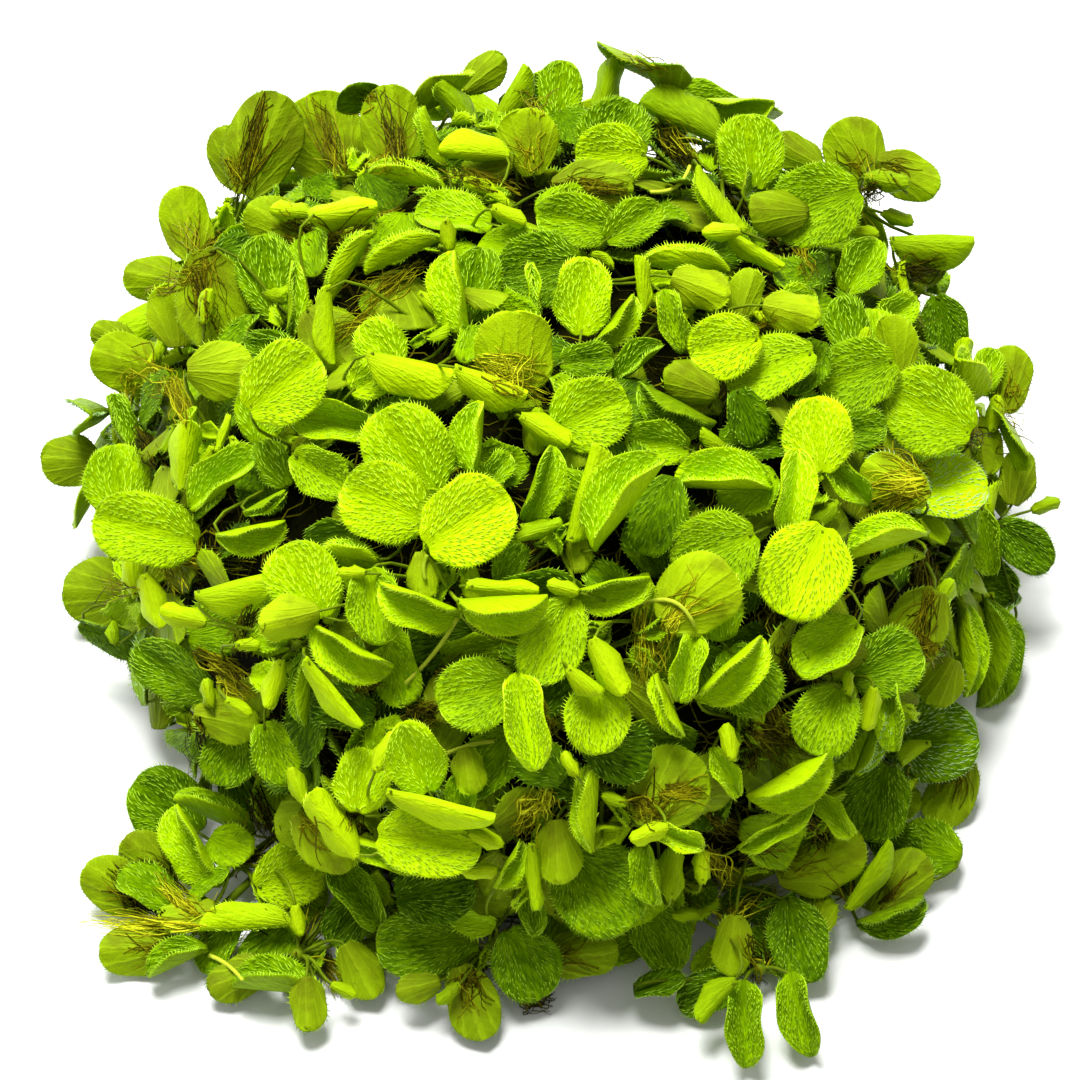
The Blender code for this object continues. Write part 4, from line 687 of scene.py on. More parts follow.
class Sprig:
    """A joint of the rhizome on the heap, with its leaves round it and its stem down to near the roots."""

    def __init__(self, name, joint, out, tangle_tree):
        self.name = name
        self.joint = joint
        self.leaves = []
        self.grown = []
        self.out = out
        self.frame = facing(out, out.orthogonal())
        foot = tangle_tree.find_nearest(Vector((joint.x, joint.y, max(joint.z, FOOT_HEIGHT))))[0]
        drop = foot - joint
        self.stem = drop.normalized() * max(drop.length - STEM_CLEARANCE - BLADE_THICKNESS / 2, STALK_WIDTH)

    def bearing(self, base):
        """The way from the joint to the base of a blade, as an angle round the joint."""
        local = self.frame.transposed() @ (sum(base, Vector()) / len(base) - self.joint)
        return math.atan2(local.y, local.x)


def stalk_bend(joint, rows):
    """Where a stalk bends before its blade, the way through and the side; none if it runs straight."""
    base = sum(rows[0], Vector()) / 2
    along = (rows[1][1] - base).normalized()
    if (base - joint).angle(along) < STALK_BEND:
        return None
    bend = base - along * BEND_BEFORE_BLADE
    through = ((bend - joint).normalized() + along).normalized()
    side = (rows[0][1] - rows[0][0]).normalized()
    return bend, through, (side - through * side.dot(through)).normalized()


def stalk_sheet(sprig, rows):
    """A stalk, from its joint to its blade or its bend, as points and faces."""
    bend = stalk_bend(sprig.joint, rows)
    end = bend[0] if bend else sum(rows[0], Vector()) / 2
    way = end - sprig.joint
    side = way.cross(sprig.out).normalized() * STALK_WIDTH / 2
    near = sprig.joint + way.normalized() * JOINT_RADIUS
    return [near + side, near - side, end + side, end - side], [[0, 1, 3, 2]]


def stem_sheet(sprig):
    """A strip through a sprig's joint and down its stem, as points and faces."""
    side = sprig.stem.cross(sprig.frame.col[1]).normalized() * STALK_WIDTH / 2
    top = sprig.joint - sprig.stem.normalized() * JOINT_RADIUS
    foot = sprig.joint + sprig.stem
    return [top - side, top + side, foot - side, foot + side], [[0, 1, 3, 2]]


def joint_sides(sprig, leaves):
    """The sides of a joint in order round it: each one's bearing, and the blade that it carries or none."""
    arms = sorted(leaves, key=lambda rows: sprig.bearing(rows[0]))
    bearings = [sprig.bearing(rows[0]) for rows in arms]
    least = min(NARROWEST_SIDE, FULL_TURN / (len(arms) + 1))
    pairs = [(i, (i + 1) % len(arms), FULL_TURN if i + 1 == len(arms) else 0.0) for i in range(len(arms))]
    for _ in range(SPREAD_ROUNDS):
        for here, there, turn in pairs:
            push = max(least - (bearings[there] + turn - bearings[here]), 0.0) / 2
            bearings[here] -= push
            bearings[there] += push
    sides = []
    for here, there, turn in pairs:
        gap = bearings[there] + turn - bearings[here]
        steps = math.ceil(gap / WIDEST_SIDE)
        sides.append((bearings[here], arms[here]))
        sides += [(bearings[here] + gap * step / steps, None) for step in range(1, steps)]
    return sides


def joint_rings(sprig, sides):
    """Corners of the top and the underside of a joint, and of the foot of its stem, between its sides."""
    least = min((there - here) % FULL_TURN for (here, _), (there, _) in zip(sides, sides[1:] + sides[:1]))
    radius = max(JOINT_RADIUS, STALK_WIDTH / 2 / math.sin(least / 2))
    ways = []
    for (before, _), (after, _) in zip(sides[-1:] + sides[:-1], sides):
        angle = after - (after - before) % FULL_TURN / 2
        ways.append(sprig.frame @ Vector((math.cos(angle), math.sin(angle), 0.0)) * radius)
    half = sprig.out * JOINT_THICKNESS / 2
    foot = sprig.joint + sprig.stem
    return ([sprig.joint + half + way for way in ways] + [sprig.joint - half + way for way in ways]
            + [foot + way * STEM_TAPER for way in ways])


def joined(corners, start, end):
    """Four faces from one ring of four corners to another, with as little twist as can be."""
    turned = [end[first:] + end[:first] for first in range(4)]
    end = min(turned, key=lambda ring: sum((corners[a] - corners[b]).length for a, b in zip(start, ring)))
    return [(start[i], start[(i + 1) % 4], end[(i + 1) % 4], end[i]) for i in range(4)]


def sprig_shell(sprig, leaves):
    """Corners and triangles of a sprig: a joint that narrows to its stem's foot, and stalks into blades."""
    sides = joint_sides(sprig, leaves)
    count = len(sides)
    corners = joint_rings(sprig, sides)
    faces = [tuple(range(count)), tuple(range(2 * count, 3 * count))]
    for here, (_, rows) in enumerate(sides):
        there = (here + 1) % count
        faces.append((2 * count + here, 2 * count + there, count + there, count + here))
        ring = (count + here, count + there, there, here)
        if rows is None:
            faces.append(ring)
            continue
        bend = stalk_bend(sprig.joint, rows)
        if bend:
            place, through, across = bend
            width, thickness = across * STALK_WIDTH / 2, across.cross(through) * STALK_THICKNESS / 2
            corners += [place + thickness - width, place + thickness + width,
                        place - thickness + width, place - thickness - width]
            bent = tuple(range(len(corners) - 4, len(corners)))
            faces += joined(corners, ring, bent)
            ring = bent
        points = [point for row in rows for point in row]
        start = len(corners)
        base = tuple(start + corner for corner in (0, 1, 1 + len(points), len(points)))
        blade, blade_shell = thickened(points, blade_faces(rows), BLADE_THICKNESS)
        corners += blade
        placed = [tuple(start + corner for corner in face) for face in blade_shell]
        faces += [face for face in placed if set(face) != set(base)]
        faces += joined(corners, ring, base)
    return corners, [(face[0], *pair) for face in faces for pair in zip(face[1:], face[2:])]


def crosses_itself(corners, triangles):
    tree = BVHTree.FromPolygons(corners, triangles, all_triangles=True)
    return any(not set(triangles[a]) & set(triangles[b]) for a, b in tree.overlap(tree))


class Solid:
    """The tree of a thin closed shell, with the ball that holds it."""

    def __init__(self, points, faces, thickness):
        self.tree = BVHTree.FromPolygons(*thickened(points, faces, thickness))
        self.middle = sum(points, Vector()) / len(points)
        self.reach = max((point - self.middle).length for point in points) + thickness

    def meets(self, others):
        near = [other for other in others if (self.middle - other.middle).length < self.reach + other.reach]
        return any(self.tree.overlap(other.tree) for other in near)


class Heap:
    """All that has its place so far, to test the next leaf against."""

    def __init__(self, tangle_tree, sprigs):
        self.tangle_tree = tangle_tree
        self.sprigs = sprigs
        self.blades = []
        self.stems = [Solid(*stem_sheet(sprig), JOINT_ROOM) for sprig in sprigs]
        self.stalks = {sprig: [] for sprig in sprigs}

    def blade_has_room(self, rows):
        points = [point for row in rows for point in row]
        if min(point.z for point in points) < BLADE_THICKNESS / 2 + FLOOR_GAP:
            return False
        blade = Solid(points, blade_faces(rows), BLADE_THICKNESS + 2 * ROOM)
        if blade.tree.overlap(self.tangle_tree):
            return False
        return not blade.meets(self.blades + self.stems + sum(self.stalks.values(), []))

    def stalk_has_room(self, sprig, rows):
        """Whether a stalk is clear of all but its own joint and what that carries."""
        stalk = Solid(*stalk_sheet(sprig, rows), BLADE_THICKNESS + 2 * ROOM)
        others = [each for other, each in zip(self.sprigs, self.stems) if other is not sprig]
        others += [each for other, stalks in self.stalks.items() if other is not sprig for each in stalks]
        return not stalk.tree.overlap(self.tangle_tree) and not stalk.meets(self.blades + others)

    def joint_for(self, leaf, rows):
        """The joint that a leaf grows from: within reach, with room, and by a short and straight way."""
        base = sum(rows[0], Vector()) / 2
        along = (rows[1][1] - base).normalized()
        ways = {sprig: base - sprig.joint for sprig in self.sprigs}
        near = [sprig for sprig in self.sprigs if SHORTEST_STALK < ways[sprig].length < STALK_REACH]
        near.sort(key=lambda sprig: ways[sprig].length * (BEND_COST - ways[sprig].normalized().dot(along))
                  * (OWN_COST if sprig is leaf.sprig else 1.0))
        return next((sprig for sprig in near if self.stalk_has_room(sprig, rows)
                     and not crosses_itself(*sprig_shell(sprig, sprig.leaves + [rows]))), None)

    def settle(self, leaf, moves):
        """Keep a leaf by the least move that gives it room; a leaf that finds no room is left out."""
        for _ in range(SMALLER_TRIES):
            for move in moves:
                rows = leaf.rows(move)
                sprig = self.joint_for(leaf, rows) if self.blade_has_room(rows) else None
                if sprig:
                    self.keep(leaf, rows, sprig)
                    return
            leaf.length *= SMALLER

    def keep(self, leaf, rows, sprig):
        sprig.leaves.append(rows)
        sprig.grown.append((leaf, rows))
        points = [point for row in rows for point in row]
        self.blades.append(Solid(points, blade_faces(rows), BLADE_THICKNESS))
        self.stalks[sprig].append(Solid(*stalk_sheet(sprig, rows), BLADE_THICKNESS))


def least_moves():
    """Moves of a leaf across, up, round and off the heap, the least first."""
    def size(move):
        across, up, turn, lift = move
        return math.hypot(across, up) + abs(turn) / TURN_AS_MOVE + lift / LIFT_AS_MOVE

    return sorted(itertools.product(SIDE_STEPS, SIDE_STEPS, TURN_STEPS, LIFT_STEPS), key=size)


def leaf_pose(angle, roll, lean):
    """Turn of a blade in the picture: tip along the angle, leaning out, rolled about its midrib."""
    return (Matrix.Rotation(math.radians(angle - 90), 3, "Z") @ Matrix.Rotation(math.radians(lean), 3, "X")
            @ Matrix.Rotation(math.radians(roll), 3, "Y"))


def seen_leaves():
    """The leaves of the front with their sprigs, from where they are seen."""
    for name, (joint_place, leaves) in SPRIGS.items():
        joint, _ = as_seen(*joint_place, JOINT_SHELL, JOINT_REST_HEIGHT)
        sprig = Sprig(name, joint, (joint + JOINT_RISE).normalized(), tangle_tree)
        for form, across, up, angle, length, roll, lean, layer, tone in leaves:
            middle, toward = as_seen(across, up, LEAF_SHELL, LEAF_REST_HEIGHT)
            nearness = (middle - EYE).dot(VIEW_AXIS) / EYE_DISTANCE
            pose = leaf_pose(angle, roll, lean)
            out = facing(toward, VIEW_UP)
            yield Leaf(sprig, form, length * nearness, pose, middle, out, layer, tone, roll)


def back_leaves():
    """The leaves of the back with their sprigs, in rings round their joints."""
    for number, (azimuth, height) in enumerate(BACK_JOINTS, start=1):
        azimuth, height = math.radians(azimuth), math.radians(height)
        level = math.cos(height)
        outward = Vector((level * math.cos(azimuth), level * math.sin(azimuth), math.sin(height)))
        joint = outward * shell_radius(outward, JOINT_SHELL)
        sprig = Sprig(f"back_sprig_{number:02d}", joint, outward, tangle_tree)
        for place, (form, distance, length, roll, lean, layer) in enumerate(BACK_RING):
            angle = BACK_TURN * number + 360 / len(BACK_RING) * place
            way = Vector((math.cos(math.radians(angle)), math.sin(math.radians(angle)), 0.0)) * distance
            middle = outward * shell_radius(outward, LEAF_SHELL) + sprig.frame @ way
            middle.z = max(middle.z, BACK_REST_HEIGHT)
            tone = BACK_TONES[(number + place) % len(BACK_TONES)]
            pose = leaf_pose(angle, roll, lean)
            yield Leaf(sprig, form, length, pose, middle, sprig.frame, layer, tone, roll)


def half_ball(roundness, same_corner):
    """The upper half of a ball of radius 1, closed with a flat base."""
    ball = bmesh.new()
    bmesh.ops.create_icosphere(ball, subdivisions=roundness, radius=1.0)
    bmesh.ops.bisect_plane(ball, geom=ball.verts[:] + ball.edges[:] + ball.faces[:], plane_co=(0, 0, 0),
                           plane_no=(0, 0, 1), clear_inner=True)
    bmesh.ops.remove_doubles(ball, verts=ball.verts[:], dist=same_corner)
    bmesh.ops.contextual_create(ball, geom=[edge for edge in ball.edges if edge.is_boundary])
    bmesh.ops.recalc_face_normals(ball, faces=ball.faces[:])
    return ball


def mound_point(outward, rise=0.0):
    """A point of the mound of roots along an outward direction, or so far over it."""
    lump = TANGLE_LUMPS * noise.noise(outward * TANGLE_SHELL[0] / TANGLE_LUMP_SIZE)
    return outward * (shell_radius(outward, TANGLE_SHELL) + lump + rise)


mound = half_ball(TANGLE_ROUNDNESS, SAME_CORNER)
for vertex in mound.verts:
    vertex.co = mound_point(vertex.co.normalized())
tangle_tree = BVHTree.FromBMesh(mound)
mound.free()
leaves = list(seen_leaves()) + list(back_leaves())
sprigs = list(dict.fromkeys(leaf.sprig for leaf in leaves))
heap = Heap(tangle_tree, sprigs)
moves = least_moves()
leaves.sort(key=lambda leaf: leaf.layer)
for leaf in leaves:
    if leaf.length > SMALLEST_LEAF:
        heap.settle(leaf, moves)


# The roots are a felted mound of fine brown threads, wound through one another under the leaves and flat
# where the clump rests. Its body is a matted skin painted near black, painted shade of the deep gaps over
# the roots' own dark brown, and loose threads run over it in every direction.
MAT_ROUNDNESS = 6
MAT_SAME_CORNER = 0.001
MAT_DEPTH = 0.9
MAT_RELIEF = ((1.1, 5.0), (0.45, 1.6))
# The skin's tone is near black: painted shade
MAT_PAINTED_SHADE_TONE = -0.35
THREAD_COUNT = 1700
THREAD_HEIGHT = 0.8
THREAD_STEPS = 9
THREAD_STEP = 1.7
THREAD_RADIUS = (0.10, 0.22)
THREAD_RISE = (-0.5, 1.4)
THREAD_RISE_STEP = 0.6
THREAD_WANDER = 0.55
THREAD_LOWEST = 0.35
THREAD_TONES = (0.05, 0.6)
THREAD_TAPER = 0.5
THREAD_SIDES = 3
TUBE_ASIDE = (0.31, 0.17, 0.11)
ONLY_FINISH = 0
ROOT_TONES = ((0.0, (0.004, 0.005, 0.0)), (0.25, (0.034, 0.031, 0.001)), (0.5, (0.16, 0.15, 0.002)),
              (0.75, (0.42, 0.42, 0.005)), (1.0, (0.72, 0.76, 0.02)))
ROOT_BLOTCHES = 0.5
ROOT_GRAIN = 0.3
ROOT_SHEEN = (1.0, 0.9, 0.2, 1.0)

chance = random.Random(11)


class Growth:
    """Points, faces and paint of one piece, gathered part by part."""

    def __init__(self):
        self.points = []
        self.faces = []
        self.finishes = []
        self.paint = []
        self.plan = []
        self.count = 0

    def add(self, points, faces, finish, tone, under=0.0, plan=None, sway=0.0):
        """Add a part: finish is its place among the materials, plan its flat layout in millimetres."""
        points = np.asarray(points)
        size = len(points)
        self.points.append(points)
        self.faces += (np.asarray(faces) + self.count).tolist()
        self.finishes += [finish] * len(faces)
        paint = np.ones((size, 4))
        paint[:, 0] = tone
        paint[:, 1] = under
        paint[:, 2] = sway
        self.paint.append(paint)
        self.plan.append(np.zeros((size, 2)) if plan is None else plan)
        self.count += size

    def make(self, name, materials):
        mesh = bpy.data.meshes.new(name)
        points = np.concatenate(self.points)
        points[:, 2] = np.maximum(points[:, 2], 0.0)
        mesh.from_pydata((points * MM).tolist(), [], self.faces)
        for material in materials:
            mesh.materials.append(material)
        mesh.polygons.foreach_set("material_index", self.finishes)
        mesh.shade_smooth()
        paint = mesh.attributes.new("paint", "FLOAT_COLOR", "POINT")
        paint.data.foreach_set("color", np.concatenate(self.paint).ravel())
        corners = np.empty(len(mesh.loops), dtype=np.int32)
        mesh.loops.foreach_get("vertex_index", corners)
        plan = mesh.uv_layers.new(name="plan")
        plan.data.foreach_set("uv", np.concatenate(self.plan)[corners].ravel())
        piece = bpy.data.objects.new(name, mesh)
        bpy.context.scene.collection.objects.link(piece)
        return piece


LEAST_WAY = 1e-9


def unit(ways):
    """Ways of length 1, from ways of any length."""
    return ways / (np.linalg.norm(ways, axis=-1)[..., None] + LEAST_WAY)


def tube(path, radii, sides):
    """A closed tube along a path, as points and faces."""
    path = np.asarray(path)
    along = unit(np.gradient(path, axis=0))
    across = unit(np.cross(along, np.roll(along[len(along) // 2], 1) + TUBE_ASIDE))
    upward = np.cross(along, across)
    turns = np.arange(sides) * FULL_TURN / sides
    ring = np.cos(turns)[None, :, None] * across[:, None] + np.sin(turns)[None, :, None] * upward[:, None]
    points = (path[:, None] + ring * np.asarray(radii)[:, None, None]).reshape(-1, 3)
    steps = np.arange(len(path) - 1)[:, None] * sides
    here, there = np.arange(sides)[None, :], (np.arange(sides)[None, :] + 1) % sides
    walls = np.stack([steps + here, steps + there, steps + sides + there, steps + sides + here], axis=-1)
    last = (len(path) - 1) * sides
    faces = walls.reshape(-1, 4).tolist()
    return points, faces, [list(range(sides))[::-1], [last + side for side in range(sides)]]


def add_tube(growth, path, radii, sides, finish, tone):
    points, walls, ends = tube(path, radii, sides)
    start = growth.count
    growth.add(points, walls, finish, tone)
    growth.faces += [[start + corner for corner in end] for end in ends]
    growth.finishes += [finish] * len(ends)


def out_of_mound(height):
    """A way out of the mound to any side, seldom much steeper than this height over its width."""
    return Vector((chance.gauss(0, 1), chance.gauss(0, 1), abs(chance.gauss(0, height)))).normalized()


def root_thread(place, way):
    """A thread that wanders over the mound from one way out of it."""
    path = []
    lowest, highest = THREAD_RISE
    rise = lowest + (highest - lowest) * chance.random()
    for _ in range(THREAD_STEPS):
        point = mound_point(place, rise)
        point.z = max(point.z, THREAD_LOWEST)
        path.append(point)
        way = (way + Vector([chance.gauss(0, THREAD_WANDER) for _ in range(3)])).normalized()
        way = (way - place * way.dot(place)).normalized()
        place = (point + way * THREAD_STEP).normalized()
        place.z = max(place.z, 0.0)
        rise = min(max(rise + chance.uniform(-THREAD_RISE_STEP, THREAD_RISE_STEP), lowest), highest)
    return path


def speckle_group():
    """Soft blotches with fine grain in them, for leaves and roots alike."""
    group = bpy.data.node_groups.new("speckle", "ShaderNodeTree")
    for name, size in (("Blotch Size", 300.0), ("Grain Size", 4000.0)):
        socket = group.interface.new_socket(name, in_out="INPUT", socket_type="NodeSocketFloat")
        socket.default_value = size
    for name in ("Blotch", "Grain"):
        group.interface.new_socket(name, in_out="OUTPUT", socket_type="NodeSocketFloat")
    nodes, links = group.nodes, group.links
    entry, result = nodes.new("NodeGroupInput"), nodes.new("NodeGroupOutput")
    place = nodes.new("ShaderNodeTexCoord")
    for socket, output in (("Blotch Size", "Blotch"), ("Grain Size", "Grain")):
        cloud = nodes.new("ShaderNodeTexNoise")
        cloud.inputs["Detail"].default_value = 3.0
        links.new(place.outputs["Object"], cloud.inputs["Vector"])
        links.new(entry.outputs[socket], cloud.inputs["Scale"])
        links.new(cloud.outputs["Fac"], result.inputs[output])
    return group


def math_node(tree, operation, *values):
    """A Math node with its inputs linked or set."""
    node = tree.nodes.new("ShaderNodeMath")
    node.operation = operation
    for socket, value in zip(node.inputs, values):
        if isinstance(value, (int, float)):
            socket.default_value = value
        else:
            tree.links.new(value, socket)
    return node.outputs[0]


def spread_out(tree, value, spread):
    """A value from 0 to 1, made to vary by this much round zero."""
    return math_node(tree, "MULTIPLY_ADD", value, spread, -spread / 2)


def kept_under(tree, value, most):
    """A value held between zero and the most."""
    return math_node(tree, "MINIMUM", math_node(tree, "MAXIMUM", value, 0.0), most)


def tone_ramp(tree, tone, stops):
    ramp = tree.nodes.new("ShaderNodeValToRGB")
    elements = ramp.color_ramp.elements
    while len(elements) < len(stops):
        elements.new(0.5)
    for element, (place, colour) in zip(elements, stops):
        element.position = place
        element.color = (*colour, 1.0)
    tree.links.new(tone, ramp.inputs["Fac"])
    return ramp.outputs["Color"]


# Where the sockets of a mix of colours stand, among those for other kinds of mix
SHARE_SOCKET, FIRST_SOCKET, SECOND_SOCKET, MIXED_SOCKET = 0, 6, 7, 2


def mixed(tree, share, first, second):
    """Colour first with a share of second over it."""
    mix = tree.nodes.new("ShaderNodeMix")
    mix.data_type = "RGBA"
    for place, value in ((SHARE_SOCKET, share), (FIRST_SOCKET, first), (SECOND_SOCKET, second)):
        if isinstance(value, (float, tuple)):
            mix.inputs[place].default_value = value
        else:
            tree.links.new(value, mix.inputs[place])
    return mix.outputs[MIXED_SOCKET]


def painted_material(name):
    """A new material with its tree, its shader, its speckle and the paint of the mesh."""
    material = bpy.data.materials.new(name)
    material.use_nodes = True
    tree = material.node_tree
    paint = tree.nodes.new("ShaderNodeAttribute")
    paint.attribute_name = "paint"
    parts = tree.nodes.new("ShaderNodeSeparateColor")
    tree.links.new(paint.outputs["Color"], parts.inputs["Color"])
    dots = tree.nodes.new("ShaderNodeGroup")
    dots.node_tree = speckle
    return material, tree, tree.nodes["Principled BSDF"], dots, parts


def bump(tree, height, strength, distance, shader):
    node = tree.nodes.new("ShaderNodeBump")
    node.inputs["Strength"].default_value = strength
    node.inputs["Distance"].default_value = distance
    tree.links.new(height, node.inputs["Height"])
    tree.links.new(node.outputs["Normal"], shader.inputs["Normal"])


speckle = speckle_group()

root_finish, tree, shader, dots, parts = painted_material("root_thread")
dots.inputs["Blotch Size"].default_value = 180.0
dots.inputs["Grain Size"].default_value = 2600.0
shade = spread_out(tree, dots.outputs["Blotch"], ROOT_BLOTCHES)
grain = spread_out(tree, dots.outputs["Grain"], ROOT_GRAIN)
shade = math_node(tree, "ADD", math_node(tree, "ADD", shade, grain), parts.outputs["Red"])
tree.links.new(tone_ramp(tree, shade, ROOT_TONES), shader.inputs["Base Color"])
shader.inputs["Roughness"].default_value = 0.6
shader.inputs["Specular IOR Level"].default_value = 0.09
shader.inputs["Specular Tint"].default_value = ROOT_SHEEN
bump(tree, dots.outputs["Grain"], 0.5, 0.0004, shader)

roots = Growth()
ball = half_ball(MAT_ROUNDNESS, MAT_SAME_CORNER)
skin = []
for vertex in ball.verts:
    outward = vertex.co.normalized()
    rise = sum(depth * noise.noise(outward * TANGLE_SHELL[0] / size) for depth, size in MAT_RELIEF)
    skin.append(mound_point(outward, rise - MAT_DEPTH))
mat_faces = [[vertex.index for vertex in face.verts] for face in ball.faces]
roots.add(skin, [face for face in mat_faces if len(face) == 3], ONLY_FINISH, MAT_PAINTED_SHADE_TONE)
roots.faces.append(next(face for face in mat_faces if len(face) > 3))
roots.finishes.append(ONLY_FINISH)
ball.free()
for _ in range(THREAD_COUNT):
    start = out_of_mound(THREAD_HEIGHT)
    way = Vector([chance.gauss(0, 1) for _ in range(3)]).normalized()
    path = root_thread(start, way)
    radius = chance.uniform(*THREAD_RADIUS)
    radii = np.linspace(radius, radius * THREAD_TAPER, THREAD_STEPS)
    add_tube(roots, path, radii, THREAD_SIDES, ONLY_FINISH, chance.uniform(*THREAD_TONES))
roots_piece = roots.make("matted_roots", [root_finish])
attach(roots_piece, "root")
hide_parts("root_tangle")


# The leaves are thin, cupped or folded blades, and each grows out of its stalk. Their colour runs from
# yellow-green to deep green: partly their own, and partly painted light and shade that each leaf's tone
# holds.
# Pale water-shedding bristles stand on the pleated upper faces and fringe the margins. The undersides are
# smooth with a raised midrib, and the youngest leaves are closed like clams.
# From tone 0, the darkest green with painted shade, to tone 1, the yellow-green of a leaf with painted full
# light
BLADE_SHADE_TO_LIGHT_TONES = ((0.0, (0.013, 0.042, 0.0)), (0.3, (0.095, 0.205, 0.0)), (0.6, (0.265, 0.455, 0.0)),
               (0.85, (0.41, 0.645, 0.0)), (1.0, (0.52, 0.77, 0.001)))
UNDER_COLOUR = (0.31, 0.42, 0.004, 1.0)
OLD_COLOUR = (0.10, 0.105, 0.004, 1.0)
VEIN_COLOUR = (0.44, 0.64, 0.01, 1.0)
BRISTLE_TONES = ((0.0, (0.16, 0.32, 0.04)), (0.5, (0.36, 0.61, 0.02)), (1.0, (0.62, 0.88, 0.03)))
# In a few places of the picture the bristles are painted whitish green: a painted sheen of wet hairs in
# grazing light
PAINTED_SHEEN_COLOUR = (0.50, 0.74, 0.36, 1.0)
PAINTED_SHEEN_PLACES = ((-49, -20), (-57, 16), (48.5, 5), (56, -16), (48.5, -28), (43.5, -36.5), (-12, -39.5), (-53, -27))
PAINTED_SHEEN_REACH = 4.0
STALK_TONES = ((0.0, (0.03, 0.05, 0.002)), (0.5, (0.20, 0.30, 0.004)), (1.0, (0.60, 0.70, 0.04)))
LEAF_SHEEN = (0.75, 1.0, 0.2, 1.0)
LEAF_BLOTCHES = 0.40
LEAF_GRAIN = 0.16
STALK_BLOTCHES = 0.5

# Veins and strokes, in millimetres where they are lengths, and how much of each shows
VEIN_GAP = 1.25
VEIN_SLANT = 0.75
VEIN_SHARPNESS = 4.0
MIDRIB_HALF_WIDTH = 0.2
MIDRIB_STRENGTH = 2.0
FAN_START = 1.5
FAN_SPREAD = 1.5
FAN_STROKES = 16.0
FAN_VEINS = 20.0
FAN_VEIN_WANDER = 2.2
FAN_VEIN_SHARPNESS = 7.0
STROKE_LENGTH = 1.4
STROKE_EDGE = 3.0
STROKE_MIDDLE = 0.45
STROKE_CONTRAST = (0.32, -0.17)
STROKES_APART = 40.0
STROKES_UNDER = 0.25
BASE_SHADE_REACH = 8.5
UNDER_SHARE = 0.45
VEIN_SHARE = 0.07
FAN_VEIN_SHARE = 0.30
BASE_SHADE_SHARE = 0.55
AGE_START = 0.50
AGE_SLOPE = 3.0
AGE_SHARE = 0.55
FAN_VEIN_RELIEF = 0.6
VEIN_RELIEF = 0.1
GRAIN_RELIEF = 0.5

# The blade: heights of its relief, then its outline, edge and mesh
BLADE, BRISTLE, STALK, ROOTLET = range(4)
OPEN_FORMS = ("round", "oblong", "cup")
PLEAT = 0.02
PLEAT_START = 3
RIPPLE = 0.28
RIPPLES = 9.0
BULGE = 0.03
CREASE = 0.35
CREASE_WIDTH = 0.55
LOBE = 0.05
LOBE_SHORTNESS = 10
WAVINESS = 0.035
WAVES = 6.5
WAVES_APART = 2.4
BASE_WIDTH = 0.40
CLOSED_BASE_WIDTH = 0.12
BASE_REACH = 0.1
BASE_SLOPE = 2.2
RIM_SHARPNESS = 6
RIM_THINNESS = 0.65
FINE_THICKNESS = 0.42
KEEL = 0.22
KEEL_WIDTH = 0.35
KEEL_FADE = 0.6
ROW_GAP = 0.62
LEAST_ROWS = 6
ROWS_REACH = 0.497
NORMALS_ALONG = (0.01, 0.99)
NORMALS_SIDE = 0.97
STEP_ALONG = 0.004
STEP_ASIDE = 0.01
HALF_COLUMNS = 5
CLOSED_UNDER = 0.4
BUD_UNDER = 0.5

# Bristles and fringe, in millimetres or as shares of the leaf
BRISTLE_ROW = 0.50
BRISTLE_GAP = 0.74
BRISTLE_JITTER = (0.4, 0.3)
BRISTLE_START = 0.35
BRISTLE_ALONG = (0.04, 0.97)
BRISTLE_SIDE = 0.95
BRISTLE_STEPS = (1.02, 0.01)
LEAST_FULLNESS = 1e-4
BRISTLE_LENGTH = (0.6, 0.95)
BRISTLE_RADIUS = 0.10
BRISTLE_LEAN = 2.1
BRISTLE_SCATTER = 0.2
BRISTLE_SEAT = 0.45
BRISTLE_FOOT = 0.12
BRISTLE_ASIDE = (0.36, 0.48, 0.80)
BRISTLE_TURNS = (0.0, 2.1, 4.2)
BRISTLE_PALENESS = (-0.02, 0.34)
BRISTLE_TONE = 0.85
# How much of the painted sheen colour each bristle in those places gets
PAINTED_SHEEN_SHARES = (0.3, 1.0)
FRINGE_GAP = 0.42
FRINGE_LENGTH = (0.4, 0.75)
FRINGE_START = 0.12
FRINGE_END = 0.05
FRINGE_SIDE = 0.985
FRINGE_REACH = 0.49
FRINGE_JITTER = 0.01
FRINGE_INSIDE = (0.8, 0.1)
FRINGE_RISE = 0.45
FRINGE_SCATTER = 0.15
BARE_FRINGE = 1.6
BARE_ROLL = 120

# Stalks, stems and rootlets
STALK_SIDES = 6
STALK_SAG = 0.75
STALK_RINGS = 7
STALK_RADII = (0.30, 0.16)
STALK_INTO_BLADE = 0.5
# A stalk's tone is a low base, painted shade, with a share of its leaf's tone, painted light, over it
STALK_PAINTED_SHADE_AND_LIGHT = (0.1, 0.25)
CURVE_REACH = 0.4
KNOB_RADIUS = 0.85
KNOB_TONE = 0.3
STEM_FOOT = 1.15
STEM_FOOT_RADII = (0.6, 0.4)
STEM_FOOT_RINGS = 4
STEM_FOOT_TONE = 0.2
ROOTLETS = 8
ROOTLET_LENGTH = 6.5
ROOTLET_RINGS = 6
ROOTLET_RADII = (0.16, 0.06)
ROOTLET_SCATTER = 0.5
ROOTLET_SPREAD = 0.55
ROOTLET_WANDER = 0.25
ROOTLET_LOWEST = 0.3
ROOTLET_TONES = (0.2, 0.8)
SMALL_MOVES = 120


